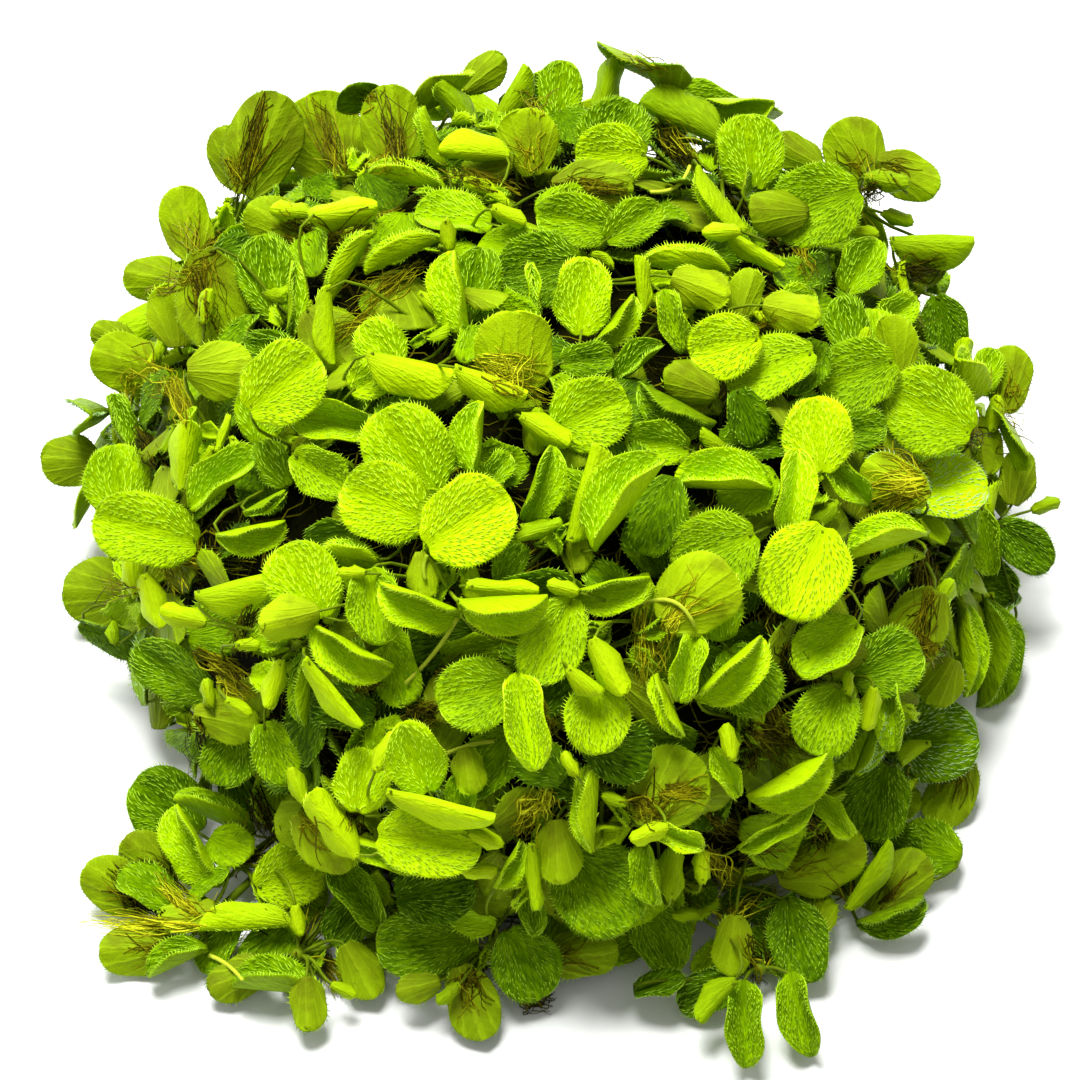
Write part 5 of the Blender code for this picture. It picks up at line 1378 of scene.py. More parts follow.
def strokes_group():
    """Strokes and veins that fan out over a blade from its base, its side veins, and how near its base is."""
    group = bpy.data.node_groups.new("strokes", "ShaderNodeTree")
    group.interface.new_socket("Variation", in_out="INPUT", socket_type="NodeSocketFloat")
    for name in ("Stroke", "Vein", "Fan Vein", "Base"):
        group.interface.new_socket(name, in_out="OUTPUT", socket_type="NodeSocketFloat")
    nodes, links = group.nodes, group.links
    entry, result = nodes.new("NodeGroupInput"), nodes.new("NodeGroupOutput")
    plan, flat = nodes.new("ShaderNodeUVMap"), nodes.new("ShaderNodeSeparateXYZ")
    plan.uv_map = "plan"
    links.new(plan.outputs["UV"], flat.inputs["Vector"])
    beside = math_node(group, "ABSOLUTE", flat.outputs["X"])
    ahead = math_node(group, "ADD", flat.outputs["Y"], FAN_START)
    reach = math_node(group, "SQRT", math_node(group, "ADD", math_node(group, "POWER", beside, 2.0),
                                               math_node(group, "POWER", ahead, 2.0)))
    fan = math_node(group, "ARCTAN2", math_node(group, "MULTIPLY", flat.outputs["X"], FAN_SPREAD), ahead)
    place = nodes.new("ShaderNodeCombineXYZ")
    links.new(math_node(group, "MULTIPLY", fan, FAN_STROKES), place.inputs["X"])
    links.new(math_node(group, "DIVIDE", reach, STROKE_LENGTH), place.inputs["Y"])
    links.new(math_node(group, "MULTIPLY", entry.outputs["Variation"], STROKES_APART), place.inputs["Z"])
    cloud = nodes.new("ShaderNodeTexNoise")
    cloud.inputs["Scale"].default_value = 1.0
    cloud.inputs["Detail"].default_value = 2.0
    links.new(place.outputs["Vector"], cloud.inputs["Vector"])
    stroke = math_node(group, "MULTIPLY_ADD", cloud.outputs["Fac"], STROKE_EDGE, -(STROKE_EDGE - 1) / 2)
    links.new(kept_under(group, stroke, 1.0), result.inputs["Stroke"])
    row = math_node(group, "SUBTRACT", flat.outputs["Y"], math_node(group, "MULTIPLY", beside, VEIN_SLANT))
    wave = math_node(group, "COSINE", math_node(group, "MULTIPLY", row, FULL_TURN / VEIN_GAP))
    wave = math_node(group, "POWER", math_node(group, "MULTIPLY_ADD", wave, 0.5, 0.5), VEIN_SHARPNESS)
    midrib = math_node(group, "LESS_THAN", beside, MIDRIB_HALF_WIDTH)
    midrib = math_node(group, "MULTIPLY", midrib, MIDRIB_STRENGTH)
    links.new(math_node(group, "MAXIMUM", wave, midrib), result.inputs["Vein"])
    spoke = math_node(group, "ADD", math_node(group, "MULTIPLY", fan, FAN_VEINS),
                      math_node(group, "MULTIPLY", cloud.outputs["Fac"], FAN_VEIN_WANDER))
    spoke = math_node(group, "MULTIPLY_ADD", math_node(group, "COSINE", spoke), 0.5, 0.5)
    links.new(math_node(group, "POWER", spoke, FAN_VEIN_SHARPNESS), result.inputs["Fan Vein"])
    near = math_node(group, "MULTIPLY_ADD", reach, -1.0 / BASE_SHADE_REACH, 1.0)
    links.new(math_node(group, "MAXIMUM", near, 0.0), result.inputs["Base"])
    return group


leaf_finish, tree, shader, dots, parts = painted_material("leaf_blade")
dots.inputs["Blotch Size"].default_value = 260.0
dots.inputs["Grain Size"].default_value = 5200.0
lines = tree.nodes.new("ShaderNodeGroup")
lines.node_tree = strokes_group()
tree.links.new(parts.outputs["Blue"], lines.inputs["Variation"])
above = math_node(tree, "MULTIPLY_ADD", parts.outputs["Green"], STROKES_UNDER - 1.0, 1.0)
stroke = math_node(tree, "SUBTRACT", lines.outputs["Stroke"], STROKE_MIDDLE)
stroke = math_node(tree, "MULTIPLY", stroke, above)
tone = math_node(tree, "ADD", spread_out(tree, dots.outputs["Blotch"], LEAF_BLOTCHES),
                 spread_out(tree, dots.outputs["Grain"], LEAF_GRAIN))
contrast = math_node(tree, "MULTIPLY_ADD", parts.outputs["Red"], STROKE_CONTRAST[1], STROKE_CONTRAST[0])
tone = math_node(tree, "ADD", tone, math_node(tree, "MULTIPLY", stroke, contrast))
# The paint's red is the leaf's tone, which holds painted light and shade as well as its own colour
tone = math_node(tree, "ADD", tone, parts.outputs["Red"])
green = tone_ramp(tree, tone, BLADE_SHADE_TO_LIGHT_TONES)
olive = mixed(tree, UNDER_SHARE, green, UNDER_COLOUR)
for mask, share, colour in (("Vein", VEIN_SHARE, VEIN_COLOUR), ("Base", BASE_SHADE_SHARE, OLD_COLOUR),
                            ("Fan Vein", FAN_VEIN_SHARE, VEIN_COLOUR)):
    olive = mixed(tree, math_node(tree, "MULTIPLY", lines.outputs[mask], share), olive, colour)
age = math_node(tree, "MULTIPLY", math_node(tree, "SUBTRACT", dots.outputs["Blotch"], AGE_START), AGE_SLOPE)
olive = mixed(tree, kept_under(tree, age, AGE_SHARE), olive, OLD_COLOUR)
tree.links.new(mixed(tree, parts.outputs["Green"], green, olive), shader.inputs["Base Color"])
shader.inputs["Roughness"].default_value = 0.45
shader.inputs["Specular IOR Level"].default_value = 0.11
shader.inputs["Specular Tint"].default_value = LEAF_SHEEN
relief = math_node(tree, "MULTIPLY", lines.outputs["Fan Vein"], parts.outputs["Green"])
relief = math_node(tree, "MULTIPLY_ADD", relief, FAN_VEIN_RELIEF, stroke)
for height, share in ((lines.outputs["Vein"], VEIN_RELIEF), (dots.outputs["Grain"], GRAIN_RELIEF)):
    relief = math_node(tree, "ADD", relief, math_node(tree, "MULTIPLY", height, share))
bump(tree, relief, 0.55, 0.0003, shader)

bristle_finish, tree, shader, dots, parts = painted_material("bristle")
hue = tone_ramp(tree, parts.outputs["Red"], BRISTLE_TONES)
# The paint's green on a bristle is its share of painted sheen
tree.links.new(mixed(tree, parts.outputs["Green"], hue, PAINTED_SHEEN_COLOUR), shader.inputs["Base Color"])
shader.inputs["Roughness"].default_value = 0.4
shader.inputs["Specular IOR Level"].default_value = 0.18
shader.inputs["Specular Tint"].default_value = LEAF_SHEEN

stalk_finish, tree, shader, dots, parts = painted_material("stalk")
dots.inputs["Blotch Size"].default_value = 500.0
tone = math_node(tree, "ADD", spread_out(tree, dots.outputs["Blotch"], STALK_BLOTCHES), parts.outputs["Red"])
tree.links.new(tone_ramp(tree, tone, STALK_TONES), shader.inputs["Base Color"])
shader.inputs["Roughness"].default_value = 0.4
shader.inputs["Specular IOR Level"].default_value = 0.2
shader.inputs["Specular Tint"].default_value = LEAF_SHEEN
bump(tree, dots.outputs["Grain"], 0.3, 0.0002, shader)


def fullness(along, least=0.0):
    """Half the width of a blade at places along its midrib, as a share of its greatest."""
    return np.maximum(1.0 - np.abs(2 * along - 1) ** BLADE_FULLNESS, least) ** (1 / BLADE_FULLNESS)


def blade_surface(leaf, along, side):
    """Points of the middle of a fine blade, and its flat layout, from 0 to 1 along and -1 to 1 across."""
    width, fold, curl, bend = LEAF_FORMS[leaf.form]
    fold, curl, bend = math.radians(fold), math.radians(curl), math.radians(bend)
    half_width = leaf.length * width / 2
    lean = bend * (along - 0.5)
    open_form = leaf.form in OPEN_FORMS
    base_width = BASE_WIDTH if open_form else CLOSED_BASE_WIDTH
    full = fullness(along)
    full = np.where(along < BASE_REACH, np.maximum(full, base_width + BASE_SLOPE * along), full)
    full = full * (1 + WAVINESS * np.sin(along * WAVES + WAVES_APART * np.sign(side) + leaf.sway))
    out = np.abs(side) * full
    edge = fold + curl * out
    row = along * leaf.length - VEIN_SLANT * half_width * out
    depth = 0.0 if leaf.form == "bud" else PLEAT
    pleat = depth * np.minimum(out * PLEAT_START, 1.0) * (1 - np.abs(side) ** RIM_SHARPNESS)
    relief = pleat * np.cos(FULL_TURN * row / VEIN_GAP)
    relief = relief + RIPPLE * np.abs(side) ** 3 * np.sin(along * RIPPLES + np.sign(side) + leaf.sway)
    if open_form:
        relief = relief + BULGE * leaf.length * np.sin(math.pi * np.abs(side)) * full
        relief = relief - CREASE * np.exp(-(out * half_width / CREASE_WIDTH) ** 2) * (1 - along) ** 0.5
    across = half_width / curl * (np.sin(edge) - math.sin(fold)) - relief * np.sin(edge)
    rise = half_width / curl * (math.cos(fold) - np.cos(edge)) + relief * np.cos(edge)
    lobe = LOBE * leaf.length * np.sin(math.pi * np.abs(side)) * (1 - along) ** LOBE_SHORTNESS
    y = leaf.length / bend * (np.sin(lean) + math.sin(bend / 2)) - rise * np.sin(lean) - lobe
    z = leaf.length / bend * (math.cos(bend / 2) - np.cos(lean)) + rise * np.cos(lean)
    points = np.stack([np.copysign(across, side), y, z], axis=-1)
    return points, np.stack([np.copysign(half_width * out, side), along * leaf.length], axis=-1)


def blade_normals(leaf, along, side):
    """Normals of the middle of a blade, out of its upper face."""
    after, before = (blade_surface(leaf, along + step, side)[0] for step in (STEP_ALONG, -STEP_ALONG))
    right, left = (blade_surface(leaf, along, side + step)[0] for step in (STEP_ASIDE, -STEP_ASIDE))
    return unit(np.cross(right - left, after - before))


def placed(leaf, points):
    return points @ np.array(leaf.turn).T + np.array(leaf.place)


def add_blade(growth, leaf, row_gap, half_columns):
    """A thin closed blade with a fine edge and a keel under its midrib."""
    rows = max(int(leaf.length / row_gap), LEAST_ROWS)
    along = 0.5 - ROWS_REACH * np.cos(np.linspace(0.0, math.pi, rows))
    side = np.sin(np.linspace(-1.0, 1.0, 2 * half_columns) * math.pi / 2)
    along, side = np.meshgrid(along, side, indexing="ij")
    columns = side.shape[1]
    middle, plan = blade_surface(leaf, along, side)
    normals = blade_normals(leaf, np.clip(along, *NORMALS_ALONG), np.clip(side, -NORMALS_SIDE, NORMALS_SIDE))
    half = FINE_THICKNESS / 2 * (1 - RIM_THINNESS * np.abs(side) ** RIM_SHARPNESS)[..., None]
    keel = KEEL * np.exp(-(plan[..., :1] / KEEL_WIDTH) ** 2) * (1 - along[..., None]) ** KEEL_FADE
    upper = placed(leaf, (middle + normals * half).reshape(-1, 3))
    lower = placed(leaf, (middle - normals * (half + keel)).reshape(-1, 3))
    size = rows * columns
    here = (np.arange(rows - 1)[:, None] * columns + np.arange(columns - 1)[None, :]).ravel()
    top = np.stack([here, here + 1, here + columns + 1, here + columns], axis=1)
    rim = np.concatenate([np.arange(columns), np.arange(2, rows + 1) * columns - 1,
                          np.arange(size - 2, size - columns - 1, -1), np.arange(rows - 2, 0, -1) * columns])
    walls = np.stack([rim, rim + size, np.roll(rim, -1) + size, np.roll(rim, -1)], axis=1)
    faces = np.concatenate([top, top[:, ::-1] + size, walls])
    under = np.repeat([0.0, 1.0 if leaf.form in OPEN_FORMS else CLOSED_UNDER], size)
    if leaf.form == "bud":
        under = np.full(2 * size, BUD_UNDER)
    plan = np.tile(plan.reshape(-1, 2), (2, 1))
    sway = leaf.sway / FULL_TURN
    growth.add(np.concatenate([upper, lower]), faces, BLADE, leaf.tone, under, plan, sway)


def add_leaf_bristles(growth, leaf, dice, spread):
    """Bristles on the upper face, that lie out from the base of the blade like a fan."""
    half_width = leaf.length * LEAF_FORMS[leaf.form][0] / 2
    gap, row_gap = BRISTLE_GAP * spread, BRISTLE_ROW * spread
    first = -math.ceil(half_width / row_gap) * row_gap
    grid = np.tile(np.mgrid[BRISTLE_START:half_width:gap, first:leaf.length:row_gap].reshape(2, -1), 2)
    count = grid.shape[1]
    aside, ahead = BRISTLE_JITTER
    beside = grid[0] + dice.uniform(-aside, aside, count) * gap
    along = (grid[1] + dice.uniform(-ahead, ahead, count) * row_gap + VEIN_SLANT * beside) / leaf.length
    side = beside / half_width / fullness(np.clip(along, 0, 1), LEAST_FULLNESS)
    nearest, furthest = BRISTLE_ALONG
    inside = (along > nearest) & (along < furthest) & (side > 0.0) & (side < BRISTLE_SIDE)
    side = (side * np.repeat([-1.0, 1.0], count // 2))[inside]
    along, beside = along[inside], beside[inside]
    fan = np.arctan2(beside * FAN_SPREAD, along * leaf.length + FAN_START)[:, None]
    middle = blade_surface(leaf, along, side)[0]
    normals = blade_normals(leaf, along, side)
    further_out, further_on = BRISTLE_STEPS
    outward = unit(blade_surface(leaf, along, side * further_out)[0] - middle)
    forward = unit(blade_surface(leaf, along + further_on, side)[0] - middle)
    ways = normals + (outward * np.sin(fan) + forward * np.cos(fan)) * BRISTLE_LEAN
    ways += dice.normal(0.0, BRISTLE_SCATTER, middle.shape)
    lengths = dice.uniform(*BRISTLE_LENGTH, len(middle))
    stand_bristles(growth, leaf, middle + normals * FINE_THICKNESS * BRISTLE_SEAT, ways, lengths, dice)


def add_fringe(growth, leaf, dice, gap):
    """Fine teeth round the margin of a blade."""
    turn = np.tile(np.arange(FRINGE_START, math.pi - FRINGE_END, gap / leaf.length * 2), 2)
    side = np.repeat([-FRINGE_SIDE, FRINGE_SIDE], len(turn) // 2)
    along = 0.5 - FRINGE_REACH * np.cos(turn + dice.uniform(-FRINGE_JITTER, FRINGE_JITTER, len(turn)))
    feet = blade_surface(leaf, along, side)[0]
    share, start = FRINGE_INSIDE
    outward = unit(feet - blade_surface(leaf, along * share + start, side * share)[0])
    ways = outward + blade_normals(leaf, along, side) * FRINGE_RISE
    ways += dice.normal(0.0, FRINGE_SCATTER, feet.shape)
    stand_bristles(growth, leaf, feet, ways, dice.uniform(*FRINGE_LENGTH, len(feet)), dice)


def in_picture(point):
    """Where a point of the clump shows, across and up."""
    ray = point - EYE
    ray = ray * ((EYE_AIM - EYE).dot(VIEW_AXIS) / ray.dot(VIEW_AXIS)) + EYE - EYE_AIM
    return ray.dot(VIEW_ACROSS), ray.dot(VIEW_UP)


def shows_painted_sheen(point):
    """Whether a point shows in one of the places where the bristles get a painted sheen of wet hairs in
    grazing light.
    """
    shown = in_picture(point)
    return any(math.dist(shown, place) < PAINTED_SHEEN_REACH for place in PAINTED_SHEEN_PLACES)


def stand_bristles(growth, leaf, feet, ways, lengths, dice):
    """Fine three-sided spikes that stand in the blade, from the leaf's own axes into the heap."""
    feet = placed(leaf, feet)
    ways = (ways / np.linalg.norm(ways, axis=1)[:, None]) @ np.array(leaf.turn).T
    across = unit(np.cross(ways, BRISTLE_ASIDE))
    other = np.cross(ways, across)
    foot = feet - ways * BRISTLE_FOOT
    ring = [foot + BRISTLE_RADIUS * (math.cos(turn) * across + math.sin(turn) * other)
            for turn in BRISTLE_TURNS]
    points = np.stack([*ring, feet + ways * lengths[:, None]], axis=1).reshape(-1, 3)
    first = (np.arange(len(feet)) * 4)[:, None, None]
    faces = (first + np.array([[0, 1, 3], [1, 2, 3], [2, 0, 3]])[None]).reshape(-1, 3)
    # Bristles follow their leaf's tone, with its painted light and shade, and are paler at random
    paler = dice.uniform(*BRISTLE_PALENESS, len(feet))
    tone = np.repeat(np.clip(leaf.tone * BRISTLE_TONE + paler, 0, 1), 4)
    # Bristles in those places get a share of painted sheen, whitish green
    white = np.repeat(dice.uniform(*PAINTED_SHEEN_SHARES, len(feet)), 4) if shows_painted_sheen(leaf.place) else 0.0
    growth.add(points, faces, BRISTLE, tone, white)


def curve_between(start, leave, end, arrive, rings):
    """Points of a smooth curve from start to end, that leaves and arrives in given ways."""
    share = np.linspace(0.0, 1.0, rings)[:, None]
    rest = 1 - share
    reach = (end - start).length * CURVE_REACH
    first, second = np.array(start + leave * reach), np.array(end - arrive * reach)
    start, end = np.array(start), np.array(end)
    return (rest ** 3 * start + 3 * rest ** 2 * share * first + 3 * rest * share ** 2 * second
            + share ** 3 * end)


def add_stalk(growth, joint, out, rows, tone):
    """A round stalk that curves from its joint into the midrib of its blade."""
    base = sum(rows[0], Vector()) / 2
    arrive = (rows[1][1] - base).normalized()
    arrive = (arrive - out * min(arrive.dot(out), 0.0)).normalized()
    leave = ((base - joint).normalized() - out * STALK_SAG).normalized()
    if leave.dot(arrive) < 0:
        arrive = (arrive + leave).normalized()
    path = curve_between(joint, leave, base + arrive * STALK_INTO_BLADE, arrive, STALK_RINGS)
    add_tube(growth, path, np.linspace(*STALK_RADII, STALK_RINGS), STALK_SIDES, STALK, tone)


def add_knob(growth, middle):
    """A joint's swollen knob."""
    knob = bmesh.new()
    bmesh.ops.create_icosphere(knob, subdivisions=2, radius=KNOB_RADIUS)
    growth.add([middle + vertex.co for vertex in knob.verts],
               [[vertex.index for vertex in face.verts] for face in knob.faces], STALK, KNOB_TONE)
    knob.free()


def group_of(sprig):
    return sprig.name.split("_")[0]


def dress(growth, leaf, dice, spread):
    """The bristles and the fringe of a leaf."""
    if leaf.form == "bud":
        return
    bare = abs(leaf.roll) > BARE_ROLL
    if not bare:
        add_leaf_bristles(growth, leaf, dice, spread)
    add_fringe(growth, leaf, dice, FRINGE_GAP * spread * (BARE_FRINGE if bare else 1.0))


for leaf in leaves:
    if leaf.length <= SMALLEST_LEAF:
        rows = next(filter(heap.blade_has_room, map(leaf.rows, moves[:SMALL_MOVES])), None)
        heap.keep(leaf, rows or leaf.rows(moves[0]), leaf.sprig)

grown = []
for sprig in sprigs:
    growth = Growth()
    dice = np.random.default_rng(sum(map(ord, sprig.name)))
    downward = sprig.stem.normalized()
    add_knob(growth, sprig.joint)
    foot = sprig.joint + sprig.stem * STEM_FOOT
    path = curve_between(sprig.joint, downward, foot, downward, STEM_FOOT_RINGS)
    radii = np.linspace(*STEM_FOOT_RADII, STEM_FOOT_RINGS)
    add_tube(growth, path, radii, STALK_SIDES, STALK, STEM_FOOT_TONE)
    for _ in range(ROOTLETS):
        start = sprig.joint + Vector(dice.normal(0.0, ROOTLET_SCATTER, 3))
        way = (downward + Vector(dice.normal(0.0, ROOTLET_SPREAD, 3))).normalized()
        path = []
        for reach in np.linspace(0.0, ROOTLET_LENGTH, ROOTLET_RINGS):
            point = start + way * reach + Vector(dice.normal(0.0, ROOTLET_WANDER, 3))
            point.z = max(point.z, ROOTLET_LOWEST)
            path.append(point)
        radii = np.linspace(*ROOTLET_RADII, ROOTLET_RINGS)
        add_tube(growth, path, radii, THREAD_SIDES, ROOTLET, float(dice.uniform(*ROOTLET_TONES)))
    for leaf, rows in sprig.grown:
        leaf.sway = float(dice.uniform(0.0, FULL_TURN))
        add_blade(growth, leaf, ROW_GAP, HALF_COLUMNS)
        add_stalk(growth, sprig.joint, sprig.out, rows, STALK_PAINTED_SHADE_AND_LIGHT[0] + leaf.tone * STALK_PAINTED_SHADE_AND_LIGHT[1])
        dress(growth, leaf, dice, 1.0)
    piece = growth.make("grown_" + sprig.name, [leaf_finish, bristle_finish, stalk_finish, root_finish])
    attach(piece, "root")
    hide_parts(sprig.name)
    "leaf_" + group_of(sprig)
    grown.append(growth)


# Between and under the leaves that are written down one by one, the clump is filled with more of the same:
# shaded leaves close over the roots, young ones crowded on the joints, and a few flat on the surface.
FILL_FORMS = ("round", "oblong", "round", "cup", "oblong")
YOUNG_FORMS = ("cup", "fold", "bud", "fold", "slim")
FILL_HEIGHT = 0.75
FILL_RISE = (2.0, 6.4)
FILL_TILT = 26.0
FILL_UPTURNED = 0.3
FILL_ROOM = 0.12
FILL_LOWEST = 0.6
FILL_ROW_GAP = 1.1
FILL_HALF_COLUMNS = 3
# Likewise for the stalks of the fillings: a low base, painted shade, with a share of the leaf's tone, painted
# light
FILL_STALK_PAINTED_SHADE_AND_LIGHT = (0.1, 0.15)
FILL_SKYWARD = Vector((0.0, 0.0, 0.25))
YOUNG_SPREAD = 2.4
YOUNG_RISE = (0.6, 4.5)
FLOOR_SPREAD = 6.0
FLOOR_INWARD = 1.0
FLOOR_HEIGHTS = (1.4, 6.0)
FLOOR_FACING = Vector((0.0, -0.2, 1.0))
FLOOR_JOINT_HEIGHT = 14.0


def mound_place():
    """A place close over the mound, the way out of it there and where its stalk comes from."""
    outward = out_of_mound(FILL_HEIGHT)
    place = mound_point(outward, chance.uniform(*FILL_RISE))
    foot = tangle_tree.find_nearest(place)[0]
    return place, (outward + FILL_SKYWARD).normalized(), foot - foot.normalized()


def joint_place():
    """A place close over a joint of the rhizome."""
    sprig = chance.choice(sprigs)
    across, up = chance.gauss(0, YOUNG_SPREAD), chance.gauss(0, YOUNG_SPREAD)
    local = Vector((across, up, chance.uniform(*YOUNG_RISE)))
    return sprig.joint + sprig.frame @ local, sprig.out, sprig.joint


def floor_place():
    """A place just over the surface, on the heap's side of a joint that lies low."""
    sprig = chance.choice([sprig for sprig in sprigs if sprig.joint.z < FLOOR_JOINT_HEIGHT])
    place = sprig.joint + Vector((chance.gauss(0, FLOOR_SPREAD), chance.gauss(0, FLOOR_SPREAD), 0.0))
    if place.xy.length > sprig.joint.xy.length + FLOOR_INWARD:
        place.xy = place.xy * (sprig.joint.xy.length / place.xy.length)
    place.z = chance.uniform(*FLOOR_HEIGHTS)
    return place, FLOOR_FACING.normalized(), sprig.joint


# Each filling has its name, how a place is found and how often that is tried, its forms of leaf, its lengths
# and tones from least to most, how far it may pass the shell of the leaves, and how far apart bristles stand.
# The low tones of the shaded and low leaves paint the shade deep in the heap into their colour.
FILLINGS = (
    ("shaded_leaves", mound_place, 5200, FILL_FORMS, (6.5, 10.5), (0.1, 0.6), 0.01, 1.6),
    ("low_leaves", floor_place, 4200, FILL_FORMS, (6.0, 9.5), (0.15, 0.6), 0.32, 1.4),
    ("young_leaves", joint_place, 1700, YOUNG_FORMS, (3.2, 5.8), (0.5, 0.95), 0.04, 1.3),
)

filling_dice = np.random.default_rng(5)
low, high = (Vector(corner) / MM for corner in cad_box)
for name, find_place, tries, forms, lengths, tones, limit, spread in FILLINGS:
    filling = Growth()
    apart = [] if find_place is joint_place else heap.stems + sum(heap.stalks.values(), [])
    for _ in range(tries):
        place, toward, joint = find_place()
        roll = chance.gauss(0, FILL_TILT) + (180 if chance.random() < FILL_UPTURNED else 0)
        pose = leaf_pose(chance.uniform(0, 360), roll, chance.gauss(0, FILL_TILT / 2))
        leaf = Leaf(None, chance.choice(forms), chance.uniform(*lengths), pose, place,
                    facing(toward, toward.orthogonal()), 0.0, chance.uniform(*tones), roll)
        leaf.sway = chance.uniform(0, FULL_TURN)
        rows = leaf.rows((0, 0, 0, 0))
        points = [point for row in rows for point in row]
        if min(point.z for point in points) < FILL_LOWEST:
            continue
        if max(outside(point, LEAF_SHELL) for point in points) > limit:
            continue
        if any(point[axis] < low[axis] or point[axis] > high[axis] for point in points for axis in range(3)):
            continue
        blade = Solid(points, blade_faces(rows), BLADE_THICKNESS + 2 * FILL_ROOM)
        if blade.tree.overlap(tangle_tree) or blade.meets(heap.blades) or blade.meets(apart):
            continue
        heap.blades.append(Solid(points, blade_faces(rows), BLADE_THICKNESS))
        add_blade(filling, leaf, FILL_ROW_GAP, FILL_HALF_COLUMNS)
        add_stalk(filling, joint, toward, rows, FILL_STALK_PAINTED_SHADE_AND_LIGHT[0] + leaf.tone * FILL_STALK_PAINTED_SHADE_AND_LIGHT[1])
        dress(filling, leaf, filling_dice, spread)
    piece = filling.make(name, [leaf_finish, bristle_finish, stalk_finish])
    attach(piece, "root")
    grown.append(filling)


# Root threads come up between the leaves and cling to them in wet strands, golden where they are young and
# dark brown where they are old. They lie in the gaps, and over the undersides of upturned leaves.
STRAND_STEPS = 7
STRAND_THREADS = 42
STRAND_STARTS = (-0.1, 0.4)
STRAND_ENDS = (0.55, 1.2)
STRAND_SPREAD = 0.9
STRAND_FOOT_SPREAD = 0.4
STRAND_WAVE = 0.65
STRAND_WAVES = (3, 9)
STRAND_TONES = (-0.3, 0.15)
STRAND_RADIUS = (0.05, 0.16)
STRAND_RISE = 0.12
STRAND_BEHIND = 1.1
STRAND_SHELL = (56.0, 49.5)
STRAND_LAYER = (0.0, 2.5)
STRAND_DROP = 1.3
FLOOR_RISE = 0.3
UPTURNED_LEAF = 8.0
UPTURNED_THREADS = 6
UPTURNED_TONE = (0.35, 0.5)
UPTURNED_SIDES = (-0.5, 0.0, 0.5)
UPTURNED_BASE = 0.05
UPTURNED_REACH = 0.6

# Each strand as it shows in the picture: from a place across and up to another, and how bright it is
STRANDS = (
    (-4, 44.2, -12.7, 47.4, 0.45), (1.1, 45.1, 12, 44.2, 0.4), (-33.7, 40.1, -25, 36.5, 0.5),
    (-19.5, 41.9, -27.8, 37.4, 0.6), (-16.8, 34.6, -25, 29.1, 0.7), (-23.2, 28.2, -28.2, 24.6, 0.6),
    (-10.4, 21.8, -0.3, 20.4, 0.9), (-9.5, 20.9, -0.8, 16.3, 0.8), (-37.4, 56.6, -40.6, 44.7, 0.3),
    (-27.3, 47.4, -30.5, 55.7, 0.5), (-19, 47.4, -21.4, 56.6, 0.45), (-47, 33.7, -44.5, 26, 0.45),
    (-42.8, 38.3, -46.5, 33.7, 0.6), (14.8, 53.8, 19.8, 46.5, 0.3), (33.8, 36.6, 34.3, 32.1, 0.5),
    (43.7, 45.6, 43.3, 42.9, 0.4), (47.7, 33.5, 52.7, 34.4, 0.35), (51.3, 6.1, 43.3, 4.7, 0.85),
    (51.3, 4.7, 42.4, 0.7, 0.6), (51.3, 6.5, 44.6, 10.1, 0.75), (55.8, 12.8, 57.6, 10.1, 0.5),
    (50.4, -2.9, 50.4, -9.6, 0.45), (51.9, -6.1, 49.5, -16.8, 0.4), (28, 26.3, 31.1, 26.7, 0.5),
    (17.9, -11.4, 13.5, -19.5, 0.9), (11.8, -12.4, 14.5, -19.2, 0.7), (13.1, -11, 12.8, -20.6, 0.85),
    (-25.3, -22.3, -21.9, -20.9, 0.5), (-0.8, -24, 0.5, -28.4, 0.6), (-14.4, -20.5, -8.3, -18.5, 0.35),
    (-14.4, -24.7, -18.8, -25.7, 0.4), (-46.5, -53.5, -60.2, -53.3, 0.95), (-46.5, -51.9, -52.6, -46.6, 0.8),
    (-51.8, -51.9, -57.5, -46.6, 0.25), (-43.6, -41.3, -38.3, -46.2, 0.5), (-37.9, -47.4, -34.3, -52.7, 0.35),
    (-39.2, -35.6, -35.9, -42.1, 0.2), (-25.3, -38, -25.7, -40.9, 0.5), (-31, -56.8, -26.9, -61.7, 0.55),
    (-39.2, -55.2, -31, -57.2, 0.35), (-3.6, -38.8, -0.8, -36.4, 0.85), (-1.6, -38, -4, -41.3, 0.7),
    (-8.1, -58.4, -11.4, -62.1, 0.35), (-3.2, -64.1, 0.8, -62.9, 0.35), (-18.7, -25.4, -15, -27.4, 0.5),
    (-46.9, -25.8, -45.7, -32.7, 0.25), (-47.8, 13.4, -49.5, 19, 0.65), (-49.4, 17, -51.8, 20.4, 0.7),
    (-53.1, -3.8, -40.8, -5.5, 0.6), (-51.4, -3.8, -48.8, -8.5, 0.75), (-46.1, -17.1, -39.5, -21.7, 0.6),
    (-43.5, -20.4, -40.2, -23.7, 0.85), (-39.2, -11.5, -41.5, -16.8, 0.5), (-54.4, 12.8, -51.4, 7.5, 0.35),
    (27, -27.1, 32.3, -31.9, 0.5), (27.8, -30, 27, -33.1, 0.3), (21.8, -39, 26.3, -42, 0.35),
    (21.8, -43.2, 24.8, -48, 0.7), (26.3, -51.8, 31.5, -49.2, 0.95), (23.3, -52.5, 30, -48.8, 0.85),
    (26.3, -44.3, 33, -44.3, 0.4), (35.2, -39.4, 37.5, -42.8, 0.4), (10.5, -36.8, 15, -39, 0.55),
    (15.4, -35.7, 21.4, -35.7, 0.6), (0.1, -34.9, 0.8, -39, 0.9), (28.1, -55.1, 28.5, -60.4, 0.2),
    (49.6, -14.8, 52.5, -18, 0.5), (30.2, -10.4, 30.5, -14.8, 0.5), (29.3, -23.5, 32.2, -29.5, 0.55),
    (27.3, -27.2, 35.7, -30.7, 0.45), (31.9, -16.2, 33.1, -20.8, 0.3), (35.1, -20.8, 38.5, -23.2, 0.25),
)


